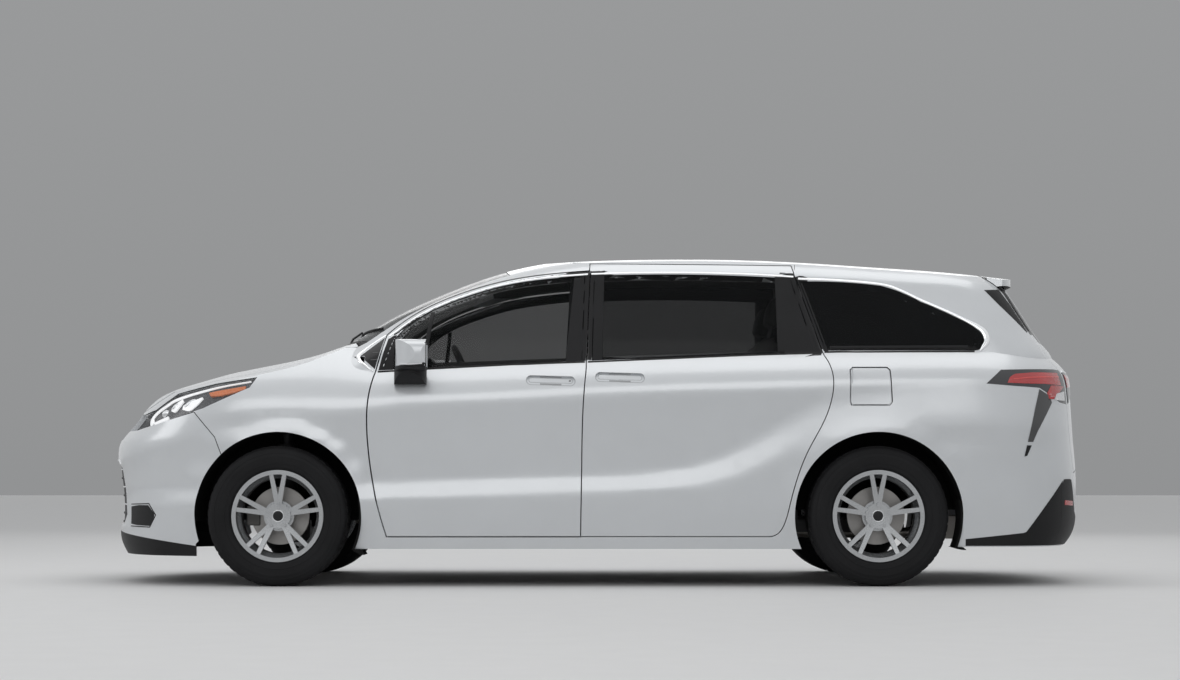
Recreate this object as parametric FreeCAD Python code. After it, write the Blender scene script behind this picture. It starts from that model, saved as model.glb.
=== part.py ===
# A seven or eight seat minivan, nose towards -X, its left side towards -Y, wheels on z = 0.
# The body is two skins: the lower body, stacked waterlines from nose to tail, and the glass house above it.
# The left half is modelled, split where the real panels meet, and mirrored.
import FreeCAD, Part
import math
import os

V = FreeCAD.Vector

# Overall sizes
LENGTH = 5174.0
HEIGHT = 1740.0
WIDEST = 972.0
X_NOSE = -LENGTH / 2
X_TAIL = LENGTH / 2
FRONT_OVERHANG = 971.0
WHEELBASE = 3060.0
X_FRONT_AXLE = X_NOSE + FRONT_OVERHANG
X_REAR_AXLE = X_FRONT_AXLE + WHEELBASE

# Wheels
TYRE_RADIUS = 357.0
TYRE_WIDTH = 235.0
RIM_RADIUS = 234.0
WHEEL_Y = 862.0
Z_AXLE = TYRE_RADIUS
ARCH_RADIUS = 428.0
ARCH_INNER_FRONT = 540.0
ARCH_INNER_REAR = 640.0

# Walls, gaps and heights
PANEL = 24.0
DOOR_DEPTH = 115.0
SILL_DEPTH = 52.0
PILLAR_DEPTH = 48.0
SCREEN_DEPTH = 55.0
ROOF_DEPTH = 38.0
GAP = 5.0
SEAT_GAP = 0.3
SHUT_LINE = 4.0
LAMP_GAP = 1.0
GLASS_SINK = 4.0
GLASS_THICK = 6.0
FLOOR_TOP = 430.0
FLOOR_THICK = 45.0
FLOOR_SIDE = 700.0
UNDERSIDE = 190.0
LIP_UNDERSIDE = 152.0
SILL_Z = 255.0
GLASS_Y = 862.0
ROOF_SIDE = 558.0
DOOR_INNER = 575.0
COWL_SIDE = 706.0
FIREWALL_X = -1190.0
OUTSIDE = 1200.0
HANDLE_STANDS = 30.0
HINGE_LEAVES = (470.0, 800.0)

# Running gear
SPOKES = 5
DISC_RADIUS = 148.0
DISC_THICK = 24.0
DISC_Y = 18.0
SPINDLE = 27.0
KINGPIN = 76.0
PIN_RADIUS = 12.0
STRUT_Y = 598.0
STRUT_RADIUS = 28.0
RAIL_IN = 430.0
RAIL_OUT = 500.0
RAIL_FOOT = 380.0
ENGINE_REAR = -1420.0
FLAP_THICK = 10.0
LINER = 12.0
TOW_RADIUS = 9.0
TOW_Y = -330.0
TOW_Z = 470.0
DRIVER_Y = -380.0
COLUMN_TILT = math.radians(65)
STEERING_CENTRE = V(-678, DRIVER_Y, 1088)

# Seams and lids
SEAM = [(-22, 1700), (-25, 1632), (-36, 1400), (-45, 1152), (-61, 948), (-70, 640), (-73, 438), (-76, SILL_Z)]
GATE_X = 2050.0
GATE_Z = 1648.0
GATE_REACH = 1160.0
GATE_SIDE = [(0, 566), (60, 575), (200, 606), (330, 644), (450, 676), (560, 698), (750, 704), (960, 692),
             (1060, 676), (GATE_REACH, 640)]
HOOD_FRONT = [(-2446, 0), (-2440, -160), (-2418, -320), (-2376, -470), (-2306, -580), (-2180, -672),
              (-2040, -726), (-1900, -762), (-1760, -784), (-1600, -790), (-1400, -765), (-1250, -730), (-1100, -690)]
HOOD_REAR = [(-1366, 0), (-1360, -230), (-1332, -450), (-1285, -600), (-1232, -700), (-1180, -780)]
HOOD_TILT = 0.36
HOOD_LEVEL = 900.0
FUEL_PIN_X = 1314.0
FUEL_PIN_Y = 966.0
FUEL_PIN_FOOT = 918.3
FUEL_PIN_TOP = 1109.5


def smooth(value, low, high):
    t = max(0.0, min(1.0, (value - low) / (high - low)))
    return t * t * (3 - 2 * t)


def spline(*knots):
    """A natural cubic spline through the knots, straight beyond both ends."""
    xs = [k[0] for k in knots]
    ys = [k[1] for k in knots]
    n = len(xs)
    lower, diag, upper, right = [0.0] * n, [1.0] * n, [0.0] * n, [0.0] * n
    for i in range(1, n - 1):
        h0, h1 = xs[i] - xs[i - 1], xs[i + 1] - xs[i]
        lower[i], diag[i], upper[i] = h0, 2 * (h0 + h1), h1
        right[i] = 6 * ((ys[i + 1] - ys[i]) / h1 - (ys[i] - ys[i - 1]) / h0)
    for i in range(1, n):
        w = lower[i] / diag[i - 1]
        diag[i] -= w * upper[i - 1]
        right[i] -= w * right[i - 1]
    bend = [0.0] * n
    bend[-1] = right[-1] / diag[-1]
    for i in range(n - 2, -1, -1):
        bend[i] = (right[i] - upper[i] * bend[i + 1]) / diag[i]

    def value(x):
        if x <= xs[0] or x >= xs[-1]:
            i, j, sign = (0, 1, 1) if x <= xs[0] else (n - 1, n - 2, -1)
            h = abs(xs[j] - xs[i])
            slope = (ys[j] - ys[i]) / (xs[j] - xs[i]) - sign * h * (2 * bend[i] + bend[j]) / 6
            return ys[i] + slope * (x - xs[i])
        i = max(k for k in range(n - 1) if xs[k] <= x)
        h = xs[i + 1] - xs[i]
        b = (x - xs[i]) / h
        a = 1 - b
        return a * ys[i] + b * ys[i + 1] + h * h / 6 * ((a**3 - a) * bend[i] + (b**3 - b) * bend[i + 1])

    return value


# Profiles on the middle plane: nose and tail by height, hood and roof by length
nose_x = spline((150, -2530), (230, -2566), (330, -2564), (520, -2574), (680, X_NOSE), (760, -2564),
                (820, -2510), (880, -2462), (960, -2390), (1060, -2270), (1200, -2090), (1350, -1890))
tail_x = spline((150, 2470), (250, 2556), (400, 2584), (560, X_TAIL), (760, 2572), (960, 2562), (1060, 2555),
                (1120, 2535), (1180, 2480), (1260, 2380), (1350, 2270))
hood_z = spline((-2520, 800), (-2470, 862), (-2403, 922), (-2340, 972), (-2267, 1020), (-2132, 1069), (-1917, 1129),
                (-1727, 1166), (-1538, 1208), (-1400, 1247), (-1300, 1286), (-1150, 1330), (-900, 1372),
                (-600, 1400))
roof_z = spline((-1100, 1500), (-732, 1630), (-515, 1682), (-297, 1712), (-25, 1730), (301, HEIGHT - 2),
                (700, 1737), (1101, 1722), (1500, 1696), (1934, 1664), (2217, 1632), (2400, 1610))
shield_x = spline((900, -1990), (1100, -1640), (1235, -1395), (1290, -1304), (1437, -1059), (1502, -925),
                  (1584, -732), (1660, -515), (1704, -320), (1760, 100))
rear_glass_x = spline((900, 2400), (1080, 2450), (1190, 2462), (1274, 2408), (1400, 2330), (1573, 2228),
                      (1650, 2180), (1760, 2110))
belt_z = spline((-2600, 1060), (-1700, 1080), (-1029, 1098), (-40, 1150), (1159, 1193), (1957, 1204), (2600, 1200))
crest_z = spline((-2600, 470), (-1150, 512), (-100, 548), (350, 572), (640, 640), (900, 775), (1120, 885),
                 (1400, 945), (2000, 985), (2600, 990))


def glass_y(z):
    return GLASS_Y - 0.235 * (z - 1100) - 0.00019 * (z - 1100) ** 2


def side_y(x, z):
    """Half width of the lower body: a hollow flank over a shelf that climbs into the rear hip."""
    front = smooth(-x, 950, 1400)
    start = (belt_z(x) - 190) * (1 - front) + 870 * front
    shoulder = (WIDEST - (glass_y(belt_z(x)) + 4)) / 190**2 * (1 - front) + 0.0019 * front
    y = WIDEST
    if z > start:
        y -= shoulder * (z - start) ** 2
    below = max(start + 40 - z, 0.0)
    y -= 33 * (1 - math.exp(-((below / 290) ** 2)))
    hip = smooth(x, 300, 1100)
    width = 90 + 110 * hip
    y += (26 + 14 * hip) * smooth(crest_z(x) - z, -width * 0.35, width)
    y -= 26 * smooth(470 - z, 0, 330)
    for axle, lift in ((X_FRONT_AXLE, 24), (X_REAR_AXLE, 8)):
        out = max(math.hypot(x - axle, z - Z_AXLE) - ARCH_RADIUS, 0)
        y += lift * math.exp(-((out / 45) ** 2)) * smooth(z, 250, 420)
    return y


def upper_half(x, z):
    """Half width of the glass house away from its rounded ends."""
    near_roof = max(0.0, min(1.0, 1 - (roof_z(x) - z) / 125))
    return glass_y(z) - 150 * near_roof**2


# How each end of a waterline rounds: the powers of its length and of its width
NOSE_ROUND = (3.4, 2.3)
TAIL_ROUND = (4.2, 2.5)
SHIELD_ROUND = (2.6, 3.0)
GATE_ROUND = (3.0, 2.8)
FLANK_FRONT = -1500.0
FLANK_REAR = 1750.0
SHIELD_REACH = 520.0
GATE_REACH_IN = 420.0


def upper_y(x, z):
    """Half width of the glass house anywhere along its side, its rounded ends included."""
    half = upper_half(x, z)
    front, rear = shield_x(z), rear_glass_x(z)
    for start, tip, powers in ((front + SHIELD_REACH, front, SHIELD_ROUND), (rear - GATE_REACH_IN, rear, GATE_ROUND)):
        share = (x - start) / (tip - start)
        if share > 0:
            half *= (1 - min(share, 0.99) ** powers[0]) ** (1 / powers[1])
    return half


def end_x(y, z, start, tip, powers, half_width):
    """How far along a rounded end lies the point that is y from the middle."""
    x = tip
    for _ in range(4):
        share = min(abs(y) / half_width(x, z), 0.995)
        x = start + (tip - start) * (1 - share ** powers[1]) ** (1 / powers[0])
    return x


def screen_x(y, z):
    return end_x(y, z, shield_x(z) + SHIELD_REACH, shield_x(z), SHIELD_ROUND, upper_half)


def rear_screen_x(y, z):
    return end_x(y, z, rear_glass_x(z) - GATE_REACH_IN, rear_glass_x(z), GATE_ROUND, upper_half)


def front_x(y, z):
    return end_x(y, z, FLANK_FRONT, nose_x(z), NOSE_ROUND, side_y)


def round_end(x_start, x_end, length_power, width_power, half_width, z, count, to_tip):
    """Points of one rounded end of a waterline, from the straight side to the tip or back."""
    points = []
    for i in range(1, count + 1):
        turn = math.pi / 2 * i / count
        x = x_start + (x_end - x_start) * math.sin(turn) ** (2 / length_power)
        share = 0.0 if i == count else math.cos(turn) ** (2 / width_power)
        points.append(V(x, -half_width(x) * share, z))
    return points if to_tip else points[::-1]


def lower_rows(side=0.0, ends=0.0):
    """Waterlines of the lower body, drawn in by the given amounts."""
    levels = list(range(150, 300, 36)) + list(range(300, 1360, 50))
    side_from, side_to, side_count, end_count = FLANK_FRONT, FLANK_REAR, 36, 11
    rows = []
    for z in levels:
        def half(x):
            return side_y(x, z) - side
        row = round_end(side_from, nose_x(z) + ends, *NOSE_ROUND, half, z, end_count, False)
        for i in range(side_count + 1):
            x = side_from + (side_to - side_from) * i / side_count
            row.append(V(x, -half(x), z))
        row += round_end(side_to, tail_x(z) - ends, *TAIL_ROUND, half, z, end_count, True)
        rows.append(row)
    return rows


def upper_rows(side=0.0, front=0.0, rear=0.0, roof=0.0):
    """Waterlines of the glass house, drawn in by the given amounts."""
    levels = list(range(940, 1480, 60)) + [1480, 1530, 1570, 1600, 1625, 1650, 1675, 1700, 1725, 1745]
    rows = []
    for z in levels:
        def half(x):
            return upper_half(x, z + roof) + glass_y(z) - glass_y(z + roof) - side
        x_front, x_rear = shield_x(z) + front, rear_glass_x(z) - rear
        side_from, side_to = x_front + SHIELD_REACH, x_rear - GATE_REACH_IN
        row = round_end(side_from, x_front, *SHIELD_ROUND, half, z, 12, False)
        for i in range(19):
            x = side_from + (side_to - side_from) * i / 18
            row.append(V(x, -half(x), z))
        row += round_end(side_to, x_rear, *GATE_ROUND, half, z, 12, True)
        rows.append(row)
    return rows


def through(points, parameters):
    curve = Part.BSplineCurve()
    curve.interpolate(Points=points, Parameters=parameters)
    return curve


def shared_parameters(lines):
    """One set of parameters for lines of points: the average share of each line's length."""
    total = [0.0] * len(lines[0])
    for line in lines:
        run = [0.0]
        for a, b in zip(line, line[1:]):
            run.append(run[-1] + a.distanceToPoint(b))
        for i, length in enumerate(run):
            total[i] += length / run[-1]
    return [v / len(lines) for v in total]


def sheet_through(rows):
    """A cubic surface through a grid of points, each row on one line of the surface."""
    along = shared_parameters(rows)
    across = shared_parameters(list(zip(*rows)))
    row_curves = [through(row, along) for row in rows]
    columns = [through(list(column), across) for column in zip(*[c.getPoles() for c in row_curves])]
    surface = Part.BSplineSurface()
    surface.buildFromPolesMultsKnots(
        [c.getPoles() for c in columns],
        row_curves[0].getMultiplicities(), columns[0].getMultiplicities(),
        row_curves[0].getKnots(), columns[0].getKnots(),
        False, False, 3, 3)
    return surface


def half_solid(rows):
    """Closes a skin of waterlines with a bottom, a top and the middle plane."""
    skin = sheet_through(rows).toShape()

    def edge_between(*ends):
        def miss(edge):
            tips = [edge.valueAt(p) for p in (edge.FirstParameter, edge.LastParameter)]
            return sum(min(t.distanceToPoint(e) for t in tips) for e in ends)
        return min(skin.Edges, key=miss)

    low_nose, low_tail, high_nose, high_tail = rows[0][0], rows[0][-1], rows[-1][0], rows[-1][-1]
    base = Part.makeLine(low_nose, low_tail)
    lid = Part.makeLine(high_nose, high_tail)
    nose, tail = edge_between(low_nose, high_nose), edge_between(low_tail, high_tail)
    loops = [[edge_between(low_nose, low_tail), base], [edge_between(high_nose, high_tail), lid],
             [nose, lid, tail, base]]
    faces = [skin] + [Part.Face(Part.Wire(Part.__sortEdges__(loop))) for loop in loops]
    shell = Part.makeShell(faces)
    shell.sewShape(0.01)
    solid = Part.Solid(shell)
    if solid.Volume < 0:
        solid.reverse()
    return solid


def steps(low, high, count):
    return [low + (high - low) * i / count for i in range(count + 1)]


def side_layer(skin, x0, x1, z0, z1, depth, thickness, columns=26, lines=10):
    """A sheet that follows the flank at some depth, as thick as told measured straight across the car."""
    rows = [[V(x, -(skin(x, z) - depth), z) for x in steps(x0, x1, columns)] for z in steps(z0, z1, lines)]
    return sheet_through(rows).toShape().extrude(V(0, thickness, 0))


def end_layer(skin, y1, z0, z1, depth, thickness):
    """The same for the nose, the windscreen or the tail, measured straight along the car."""
    rows = [[V(skin(y, z) + depth, y, z) for y in steps(0, -y1, 18)] for z in steps(z0, z1, 14)]
    return sheet_through(rows).toShape().extrude(V(thickness, 0, 0))


def above(height, x0, x1, y1, crown, crown_y, power, lower=0.0, columns=36):
    """Everything above a crowned sheet of the given centreline height."""
    count = 10
    rows = []
    for j in range(count + 1):
        y = -y1 * j / count
        xs = [x0 + (x1 - x0) * i / columns for i in range(columns + 1)]
        rows.append([V(x, y, height(x) - lower - crown * (abs(y) / crown_y) ** power) for x in xs])
    return sheet_through(rows).toShape().extrude(V(0, 0, 1500))


def above_hood(lower=0.0):
    return above(hood_z, -2700, 2700, 1100, 70.0, 800.0, 2.2, lower)


def above_roof(lower=0.0):
    return above(roof_z, -1500, 2700, 1000, 52.0, 640.0, 2.3, lower, 30)


def lower_volume(side=0.0, ends=0.0, lower=0.0):
    return half_solid(lower_rows(side, ends)).cut(above_hood(lower))


def upper_volume(side=0.0, front=0.0, rear=0.0, roof=0.0):
    return half_solid(upper_rows(side, front, rear, roof)).cut(above_roof(roof))


def box(x0, x1, y0, y1, z0, z1):
    return Part.makeBox(x1 - x0, y1 - y0, z1 - z0, V(x0, y0, z0))


def smooth_curve(points):
    curve = Part.BSplineCurve()
    curve.interpolate(points)
    return curve


def outline(*runs):
    """Runs of points in a plane, put head to tail: two points make a line, more make a smooth curve."""
    left = [list(run) for run in runs]
    loop = [left.pop(0)]
    while left:
        tip = loop[-1][-1]
        run = min(left, key=lambda r: min(math.dist(r[0], tip), math.dist(r[-1], tip)))
        left.remove(run)
        loop.append(run if math.dist(run[0], tip) <= math.dist(run[-1], tip) else run[::-1])
    return loop


def polygon(points):
    return [[a, b] for a, b in zip(points, points[1:] + points[:1])]


def grown(loop, by):
    """The same loop moved outwards by the given amount, its corners kept sharp."""
    lines = []
    for run in loop:
        if len(run) > 2:
            curve = smooth_curve([V(p[0], p[1], 0) for p in run])
            ends = curve.FirstParameter, curve.LastParameter
            count = 3 * len(run)
            steps = [ends[0] + (ends[1] - ends[0]) * i / count for i in range(count + 1)]
            lines.append([(curve.value(t), curve.tangent(t)[0]) for t in steps])
        else:
            start, end = V(run[0][0], run[0][1], 0), V(run[1][0], run[1][1], 0)
            way = (end - start).normalize()
            lines.append([(start, way), (end, way)])
    points = [p for line in lines for p, _ in line]
    area = sum(a.x * b.y - b.x * a.y for a, b in zip(points, points[1:] + points[:1]))
    side = by if area > 0 else -by

    def moved(p, way):
        return V(p.x + way.y * side, p.y - way.x * side, 0)

    moved_lines = []
    for i, line in enumerate(lines):
        new = [moved(p, way) for p, way in line]
        for at, other, its_end in ((0, lines[i - 1], -1), (-1, lines[(i + 1) % len(lines)], 0)):
            p, way = moved(*line[at]), line[at][1]
            q, its_way = moved(*other[its_end]), other[its_end][1]
            turn = way.x * its_way.y - way.y * its_way.x
            if abs(turn) > 0.02:
                step = ((q.x - p.x) * its_way.y - (q.y - p.y) * its_way.x) / turn
                new[at] = V(p.x + way.x * step, p.y + way.y * step, 0)
            else:
                new[at] = (p + q) * 0.5
        moved_lines.append([(p.x, p.y) for p in new])
    return moved_lines


def flat_face(loop, place):
    edges = []
    for run in loop:
        points = [place(p) for p in run]
        edges.append(Part.makeLine(*points) if len(points) == 2 else smooth_curve(points).toShape())
    return Part.Face(Part.Wire(edges))


def across(loop, y0=-OUTSIDE, y1=0.0):
    """A side view outline (x, z) pushed across the car."""
    return flat_face(loop, lambda p: V(p[0], y0, p[1])).extrude(V(0, y1 - y0, 0))


def along(loop, x0, x1):
    """An end view outline (y, z) pushed along the car."""
    return flat_face(loop, lambda p: V(x0, p[0], p[1])).extrude(V(x1 - x0, 0, 0))


def upwards(loop, z0, z1, lean=0.0):
    """A plan outline (x, y) pushed up the car, leaning forward as it goes."""
    return flat_face(loop, lambda p: V(p[0], p[1], z0)).extrude(V(-lean * (z1 - z0), 0, z1 - z0))


def mirrored(shape):
    return shape.mirror(V(0, 0, 0), V(0, 1, 0))


def both(shape):
    """A centre piece from its left half."""
    return shape.fuse(mirrored(shape)).removeSplitter()


def pair(shape):
    return Part.makeCompound(shape.Solids + mirrored(shape).Solids)


def biggest(shape):
    return max(shape.Solids, key=lambda s: s.Volume)


NODES = {}


def keep(name, shape):
    NODES[name] = shape


def keep_sides(name, shape):
    keep(name + "_left", shape)
    keep(name + "_right", mirrored(shape))


# Outlines of the panels in the side view
DOOR_FRONT_EDGE = [(-1126, 1096), (-1150, 990), (-1160, 880), (-1155, 720), (-1130, 530), (-1096, 380),
                   (-1059, SILL_Z)]
PILLAR_CUT = [(-1126, 1096), (-1079, 1292)]
RAIL_CUT = [(-1079, 1292), (-908, 1423), (-700, 1516), (-492, 1575), (-259, 1612), (-25, 1632)]
MID_CUT_TOP = [(-25, 1632), (-36, 1400), (-45, 1152)]
MID_CUT_LOW = [(-45, 1152), (-61, 948), (-73, 438), (-76, SILL_Z)]
REAR_CUT = [(880, SILL_Z), (935, 275), (964, 325), (990, 420), (1030, 560), (1088, 700), (1158, 826), (1205, 950),
            (1216, 1060), (1180, 1180)]
REAR_PILLAR_CUT = [(1180, 1180), (1045, 1600)]

front_door_face = outline(DOOR_FRONT_EDGE, PILLAR_CUT, RAIL_CUT, MID_CUT_TOP, MID_CUT_LOW,
                          [(-76, SILL_Z), (-1059, SILL_Z)])
sliding_door_face = outline([(-25, 1632), (-23, 1676)], MID_CUT_TOP, MID_CUT_LOW, [(-76, SILL_Z), (880, SILL_Z)],
                            REAR_CUT, REAR_PILLAR_CUT, [(1045, 1600), (1032, 1664)], [(1032, 1664), (-23, 1676)])

FRONT_GLASS = outline([(-1092, 1108), (-1040, 1268)], [(-1040, 1268), (-890, 1402), (-690, 1492), (-488, 1552),
                      (-258, 1588), (-52, 1606)], [(-52, 1606), (-66, 1155)], [(-66, 1155), (-1092, 1108)])
FRONT_WINDOW = outline([(-1030, 1135), (-1010, 1262)], [(-1010, 1262), (-875, 1382), (-680, 1468), (-480, 1528),
                       (-300, 1558), (-128, 1576)], [(-128, 1576), (-150, 1168)], [(-150, 1168), (-1030, 1135)])
SLIDING_GLASS = outline([(-2, 1607), (500, 1613), (1020, 1592)], [(1020, 1592), (1142, 1198)],
                        [(1142, 1198), (-14, 1157)], [(-14, 1157), (-2, 1607)])
SLIDING_WINDOW = outline([(48, 1580), (480, 1585), (945, 1572)], [(945, 1572), (962, 1205)],
                         [(962, 1205), (40, 1176)], [(40, 1176), (48, 1580)])
QUARTER_GLASS = outline([(1072, 1575), (1192, 1209)], [(1192, 1209), (1965, 1209)],
                        [(1965, 1209), (2008, 1235), (2015, 1275), (1981, 1325)],
                        [(1981, 1325), (1850, 1396), (1696, 1466)], [(1696, 1466), (1590, 1520), (1494, 1552)],
                        [(1494, 1552), (1280, 1572), (1072, 1575)])
LAMP_FACE = outline(*polygon([(-2620, 792), (-2620, 862), (-2370, 884), (-2290, 905), (-2165, 986), (-1950, 1034),
                             (-1736, 1066), (-1769, 1014), (-2007, 908), (-2257, 832), (-2400, 800)]))
BUMPER_FACE = outline(*polygon([(-2700, 100), (-2700, 1000), (-2257, 832), (-2057, 886), (-1943, 758), (-1880, 600),
                               (-1900, 352), (-2040, 214), (-2040, 100)]))
LIP_FACE = outline(*polygon([(-2700, 100), (-2700, 300), (-2476, 262), (-2040, 204), (-2040, 100)]))
FENDER_FACE = outline(*polygon([(-1100, 100), (-1100, 1085), (-1128, 1102), (-1252, 1178), (-1262, 1400),
                               (-2700, 1400), (-2700, 100)]))
REAR_BUMPER_FACE = outline(*polygon([(1700, 100), (1750, 600), (1793, 657), (1887, 711), (2186, 736), (2470, 640),
                                    (2700, 620), (2700, 100)]))
TAIL_LAMP_FACE = outline(*polygon([(1997, 1031), (2079, 1104), (2381, 1113), (2700, 1100), (2700, 900), (2405, 940),
                                  (2281, 1012), (2140, 1020)]))
FUEL_FACE = outline(*polygon([(1312, 925), (1500, 925), (1512, 940), (1506, 1100), (1494, 1112), (1322, 1112),
                             (1310, 1100), (1306, 940)]))

# Outlines in the end view
WINDSCREEN_FACE = outline([(0, 1276), (-300, 1275), (-500, 1272), (-650, 1266), (-700, 1262)],
                          [(-700, 1262), (-658, 1350), (-625, 1440), (-603, 1530), (-585, 1618)],
                          [(-585, 1618), (-400, 1650), (-200, 1664), (0, 1668)], [(0, 1668), (0, 1276)])
WINDSCREEN_HOLE = outline([(0, 1292), (-300, 1291), (-500, 1288), (-648, 1284)],
                          [(-648, 1284), (-614, 1360), (-582, 1440), (-560, 1530), (-545, 1588)],
                          [(-545, 1588), (-380, 1618), (-200, 1632), (0, 1636)], [(0, 1636), (0, 1292)])
GATE_GLASS_FACE = outline([(0, 1198), (-300, 1202), (-560, 1220)], [(-560, 1220), (-640, 1262)],
                          [(-640, 1262), (-600, 1400), (-550, 1500), (-500, 1560)],
                          [(-500, 1560), (-300, 1580), (0, 1586)], [(0, 1586), (0, 1198)])
GATE_HOLE = outline([(0, 1232), (-300, 1236), (-520, 1250)], [(-520, 1250), (-585, 1290)],
                    [(-585, 1290), (-548, 1400), (-500, 1490), (-460, 1530)],
                    [(-460, 1530), (-300, 1546), (0, 1552)], [(0, 1552), (0, 1232)])
UPPER_GRILLE = outline(*polygon([(0, 742), (-440, 752), (-462, 800), (-462, 900), (0, 900)]))
LOWER_GRILLE = outline(*polygon([(0, 300), (-500, 310), (-560, 360), (-520, 600), (-440, 640), (0, 650)]))
PILLAR_FACE = outline([(-818, 415), (-818, 1040)], [(-818, 1040), (-800, 1105), (-778, 1200), (-748, 1300),
                      (-715, 1400), (-680, 1500), (-657, 1560), (-630, 1600), (-598, 1625), (-ROOF_SIDE - 11, 1645)],
                      [(-ROOF_SIDE - 11, 1645), (-ROOF_SIDE - 11, 1689)],
                      [(-ROOF_SIDE - 11, 1689), (-ROOF_SIDE - 2, 1689)],
                      [(-ROOF_SIDE - 2, 1689), (-ROOF_SIDE - 2, 1620)],
                      [(-ROOF_SIDE - 2, 1620), (-590, 1590), (-635, 1500), (-670, 1400), (-703, 1300), (-733, 1200),
                       (-755, 1105), (-773, 1040)],
                      [(-773, 1040), (-773, 415)], [(-773, 415), (-818, 415)])


def skin_y(x, z):
    """Half width at the outer skin, lower body or glass house."""
    return max(side_y(x, z) if z < belt_z(x) else 0.0, glass_y(z) if z > 940 else 0.0)


def behind_seam(shift, low_slope, high_slope):
    """Everything behind the seam between the side doors, which runs forward going inwards."""
    levels = list(range(150, 1760, 70)) + [1790]
    at = spline(*sorted((z, x) for x, z in SEAM))
    rows = []
    for z in levels:
        slope = low_slope + (high_slope - low_slope) * smooth(z, 950, 1600)
        skin = skin_y(0, z)
        rows.append([V(at(z) + shift + slope * (-y - skin), y, z) for y in (-1300, -1000, -800, -600, -400)])
    return sheet_through(rows).toShape().extrude(V(3000, 0, 0))


def revolve_region(profile, x, z, grow):
    """Left half of what a lid hinged on a cross axis may fill: half widths by radius, turned about the axis."""
    points = [(r + (grow if i == len(profile) - 1 else 0), y + grow) for i, (r, y) in enumerate(profile)]
    rim = smooth_curve([V(x, -y, z - r) for r, y in points])
    last, first = points[-1], points[0]
    edges = [Part.makeLine(V(x, 0, z - first[0]), V(x, -first[1], z - first[0])), rim.toShape(),
             Part.makeLine(V(x, -last[1], z - last[0]), V(x, 0, z - last[0])),
             Part.makeLine(V(x, 0, z - last[0]), V(x, 0, z - first[0]))]
    face = Part.Face(Part.Wire(Part.__sortEdges__(edges)))
    return face.revolve(V(x, 0, z), V(0, -1, 0), 200)


def hood_region(grow):
    """The bonnet's plan: its front and sides lean forward going up, the way they lift; the rear is upright."""
    foot, rise = 700.0, 700.0
    side = HOOD_FRONT[-1]
    middle = HOOD_FRONT[0][0]
    front = outline([(x - grow * 1.2, y - grow if y < -300 else y) for x, y in HOOD_FRONT],
                    [(side[0] - grow * 1.2, side[1] - grow), (-900, side[1] - grow)],
                    [(-900, side[1] - grow), (-900, 0)], [(-900, 0), (middle - grow * 1.2, 0)])
    front = [[(x + HOOD_TILT * (HOOD_LEVEL - foot), y) for x, y in run] for run in front]
    first, last = HOOD_REAR[0], HOOD_REAR[-1]
    rear = outline([(x + grow, y) for x, y in HOOD_REAR], [(last[0] + grow, last[1]), (last[0] + grow, -1100)],
                   [(last[0] + grow, -1100), (-2800, -1100)], [(-2800, -1100), (-2800, 0)],
                   [(-2800, 0), (first[0] + grow, 0)])
    return upwards(front, foot, foot + rise, HOOD_TILT).common(upwards(rear, foot - 100, foot + rise + 100))


def rounded(shape, radius, choose=None):
    edges = [e for e in shape.Edges if choose is None or choose(e)]
    done = shape.makeFillet(radius, edges)
    return done


def upright(edge):
    """Whether an edge runs up and down."""
    tips = edge.Vertexes
    return len(tips) == 2 and math.hypot(tips[0].X - tips[1].X, tips[0].Y - tips[1].Y) < 0.1


def slab(x0, x1, y0, y1, z0, z1, radius=0.0):
    shape = box(x0, x1, y0, y1, z0, z1)
    return rounded(shape, radius) if radius else shape


def tube(points, radius):
    """A bent round bar through the given points."""
    solids = []
    for a, b in zip(points, points[1:]):
        solids.append(Part.makeCylinder(radius, a.distanceToPoint(b), a, b - a))
    for p in points[1:-1]:
        solids.append(Part.makeSphere(radius, p))
    return solids[0].multiFuse(solids[1:]).removeSplitter() if len(solids) > 1 else solids[0]


def wheel_space(x, inner, radius=ARCH_RADIUS):
    return Part.makeCylinder(radius, OUTSIDE - inner, V(x, -OUTSIDE, Z_AXLE), V(0, 1, 0))


def door_handle(x0, x1, z0, z1):
    """A pull handle standing off the skin on two feet, over a shallow dish for the fingers."""
    r = (z1 - z0) / 2
    tilt = -0.03 * (x1 - x0)
    face = outline([(x0 + r, z0 - tilt), (x1 - r, z0)], [(x1 - r, z0), (x1 - r * 0.3, z0 + r * 0.3), (x1, z0 + r),
                   (x1 - r * 0.3, z1 - r * 0.3), (x1 - r, z1)], [(x1 - r, z1), (x0 + r, z1 - tilt)],
                   [(x0 + r, z1 - tilt), (x0 + r * 0.3, z1 - r * 0.3 - tilt), (x0, z0 + r - tilt),
                    (x0 + r * 0.3, z0 + r * 0.3 - tilt), (x0 + r, z0 - tilt)])
    margin = 20
    skin = x0 - margin, x1 + margin, z0 - margin, z1 + margin
    grip = side_layer(side_y, *skin, -HANDLE_STANDS, 13, 6, 4).common(across(face))
    feet = across(outline(*polygon([(x0 + 12, z0 + 6), (x0 + 34, z0 + 6), (x0 + 34, z1 - 6 - tilt), (x0 + 12, z1 - 6)])))
    feet = feet.fuse(across(outline(*polygon([(x1 - 34, z0 + 6), (x1 - 12, z0 + 6), (x1 - 12, z1 - 6),
                                              (x1 - 34, z1 - 6)]))))
    feet = feet.common(side_layer(side_y, *skin, 8 - HANDLE_STANDS, HANDLE_STANDS, 6, 4))
    dish = side_layer(side_y, *skin, -20, 32, 6, 4).common(across(grown(face, 10)))
    return grip.fuse(feet), dish


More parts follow.
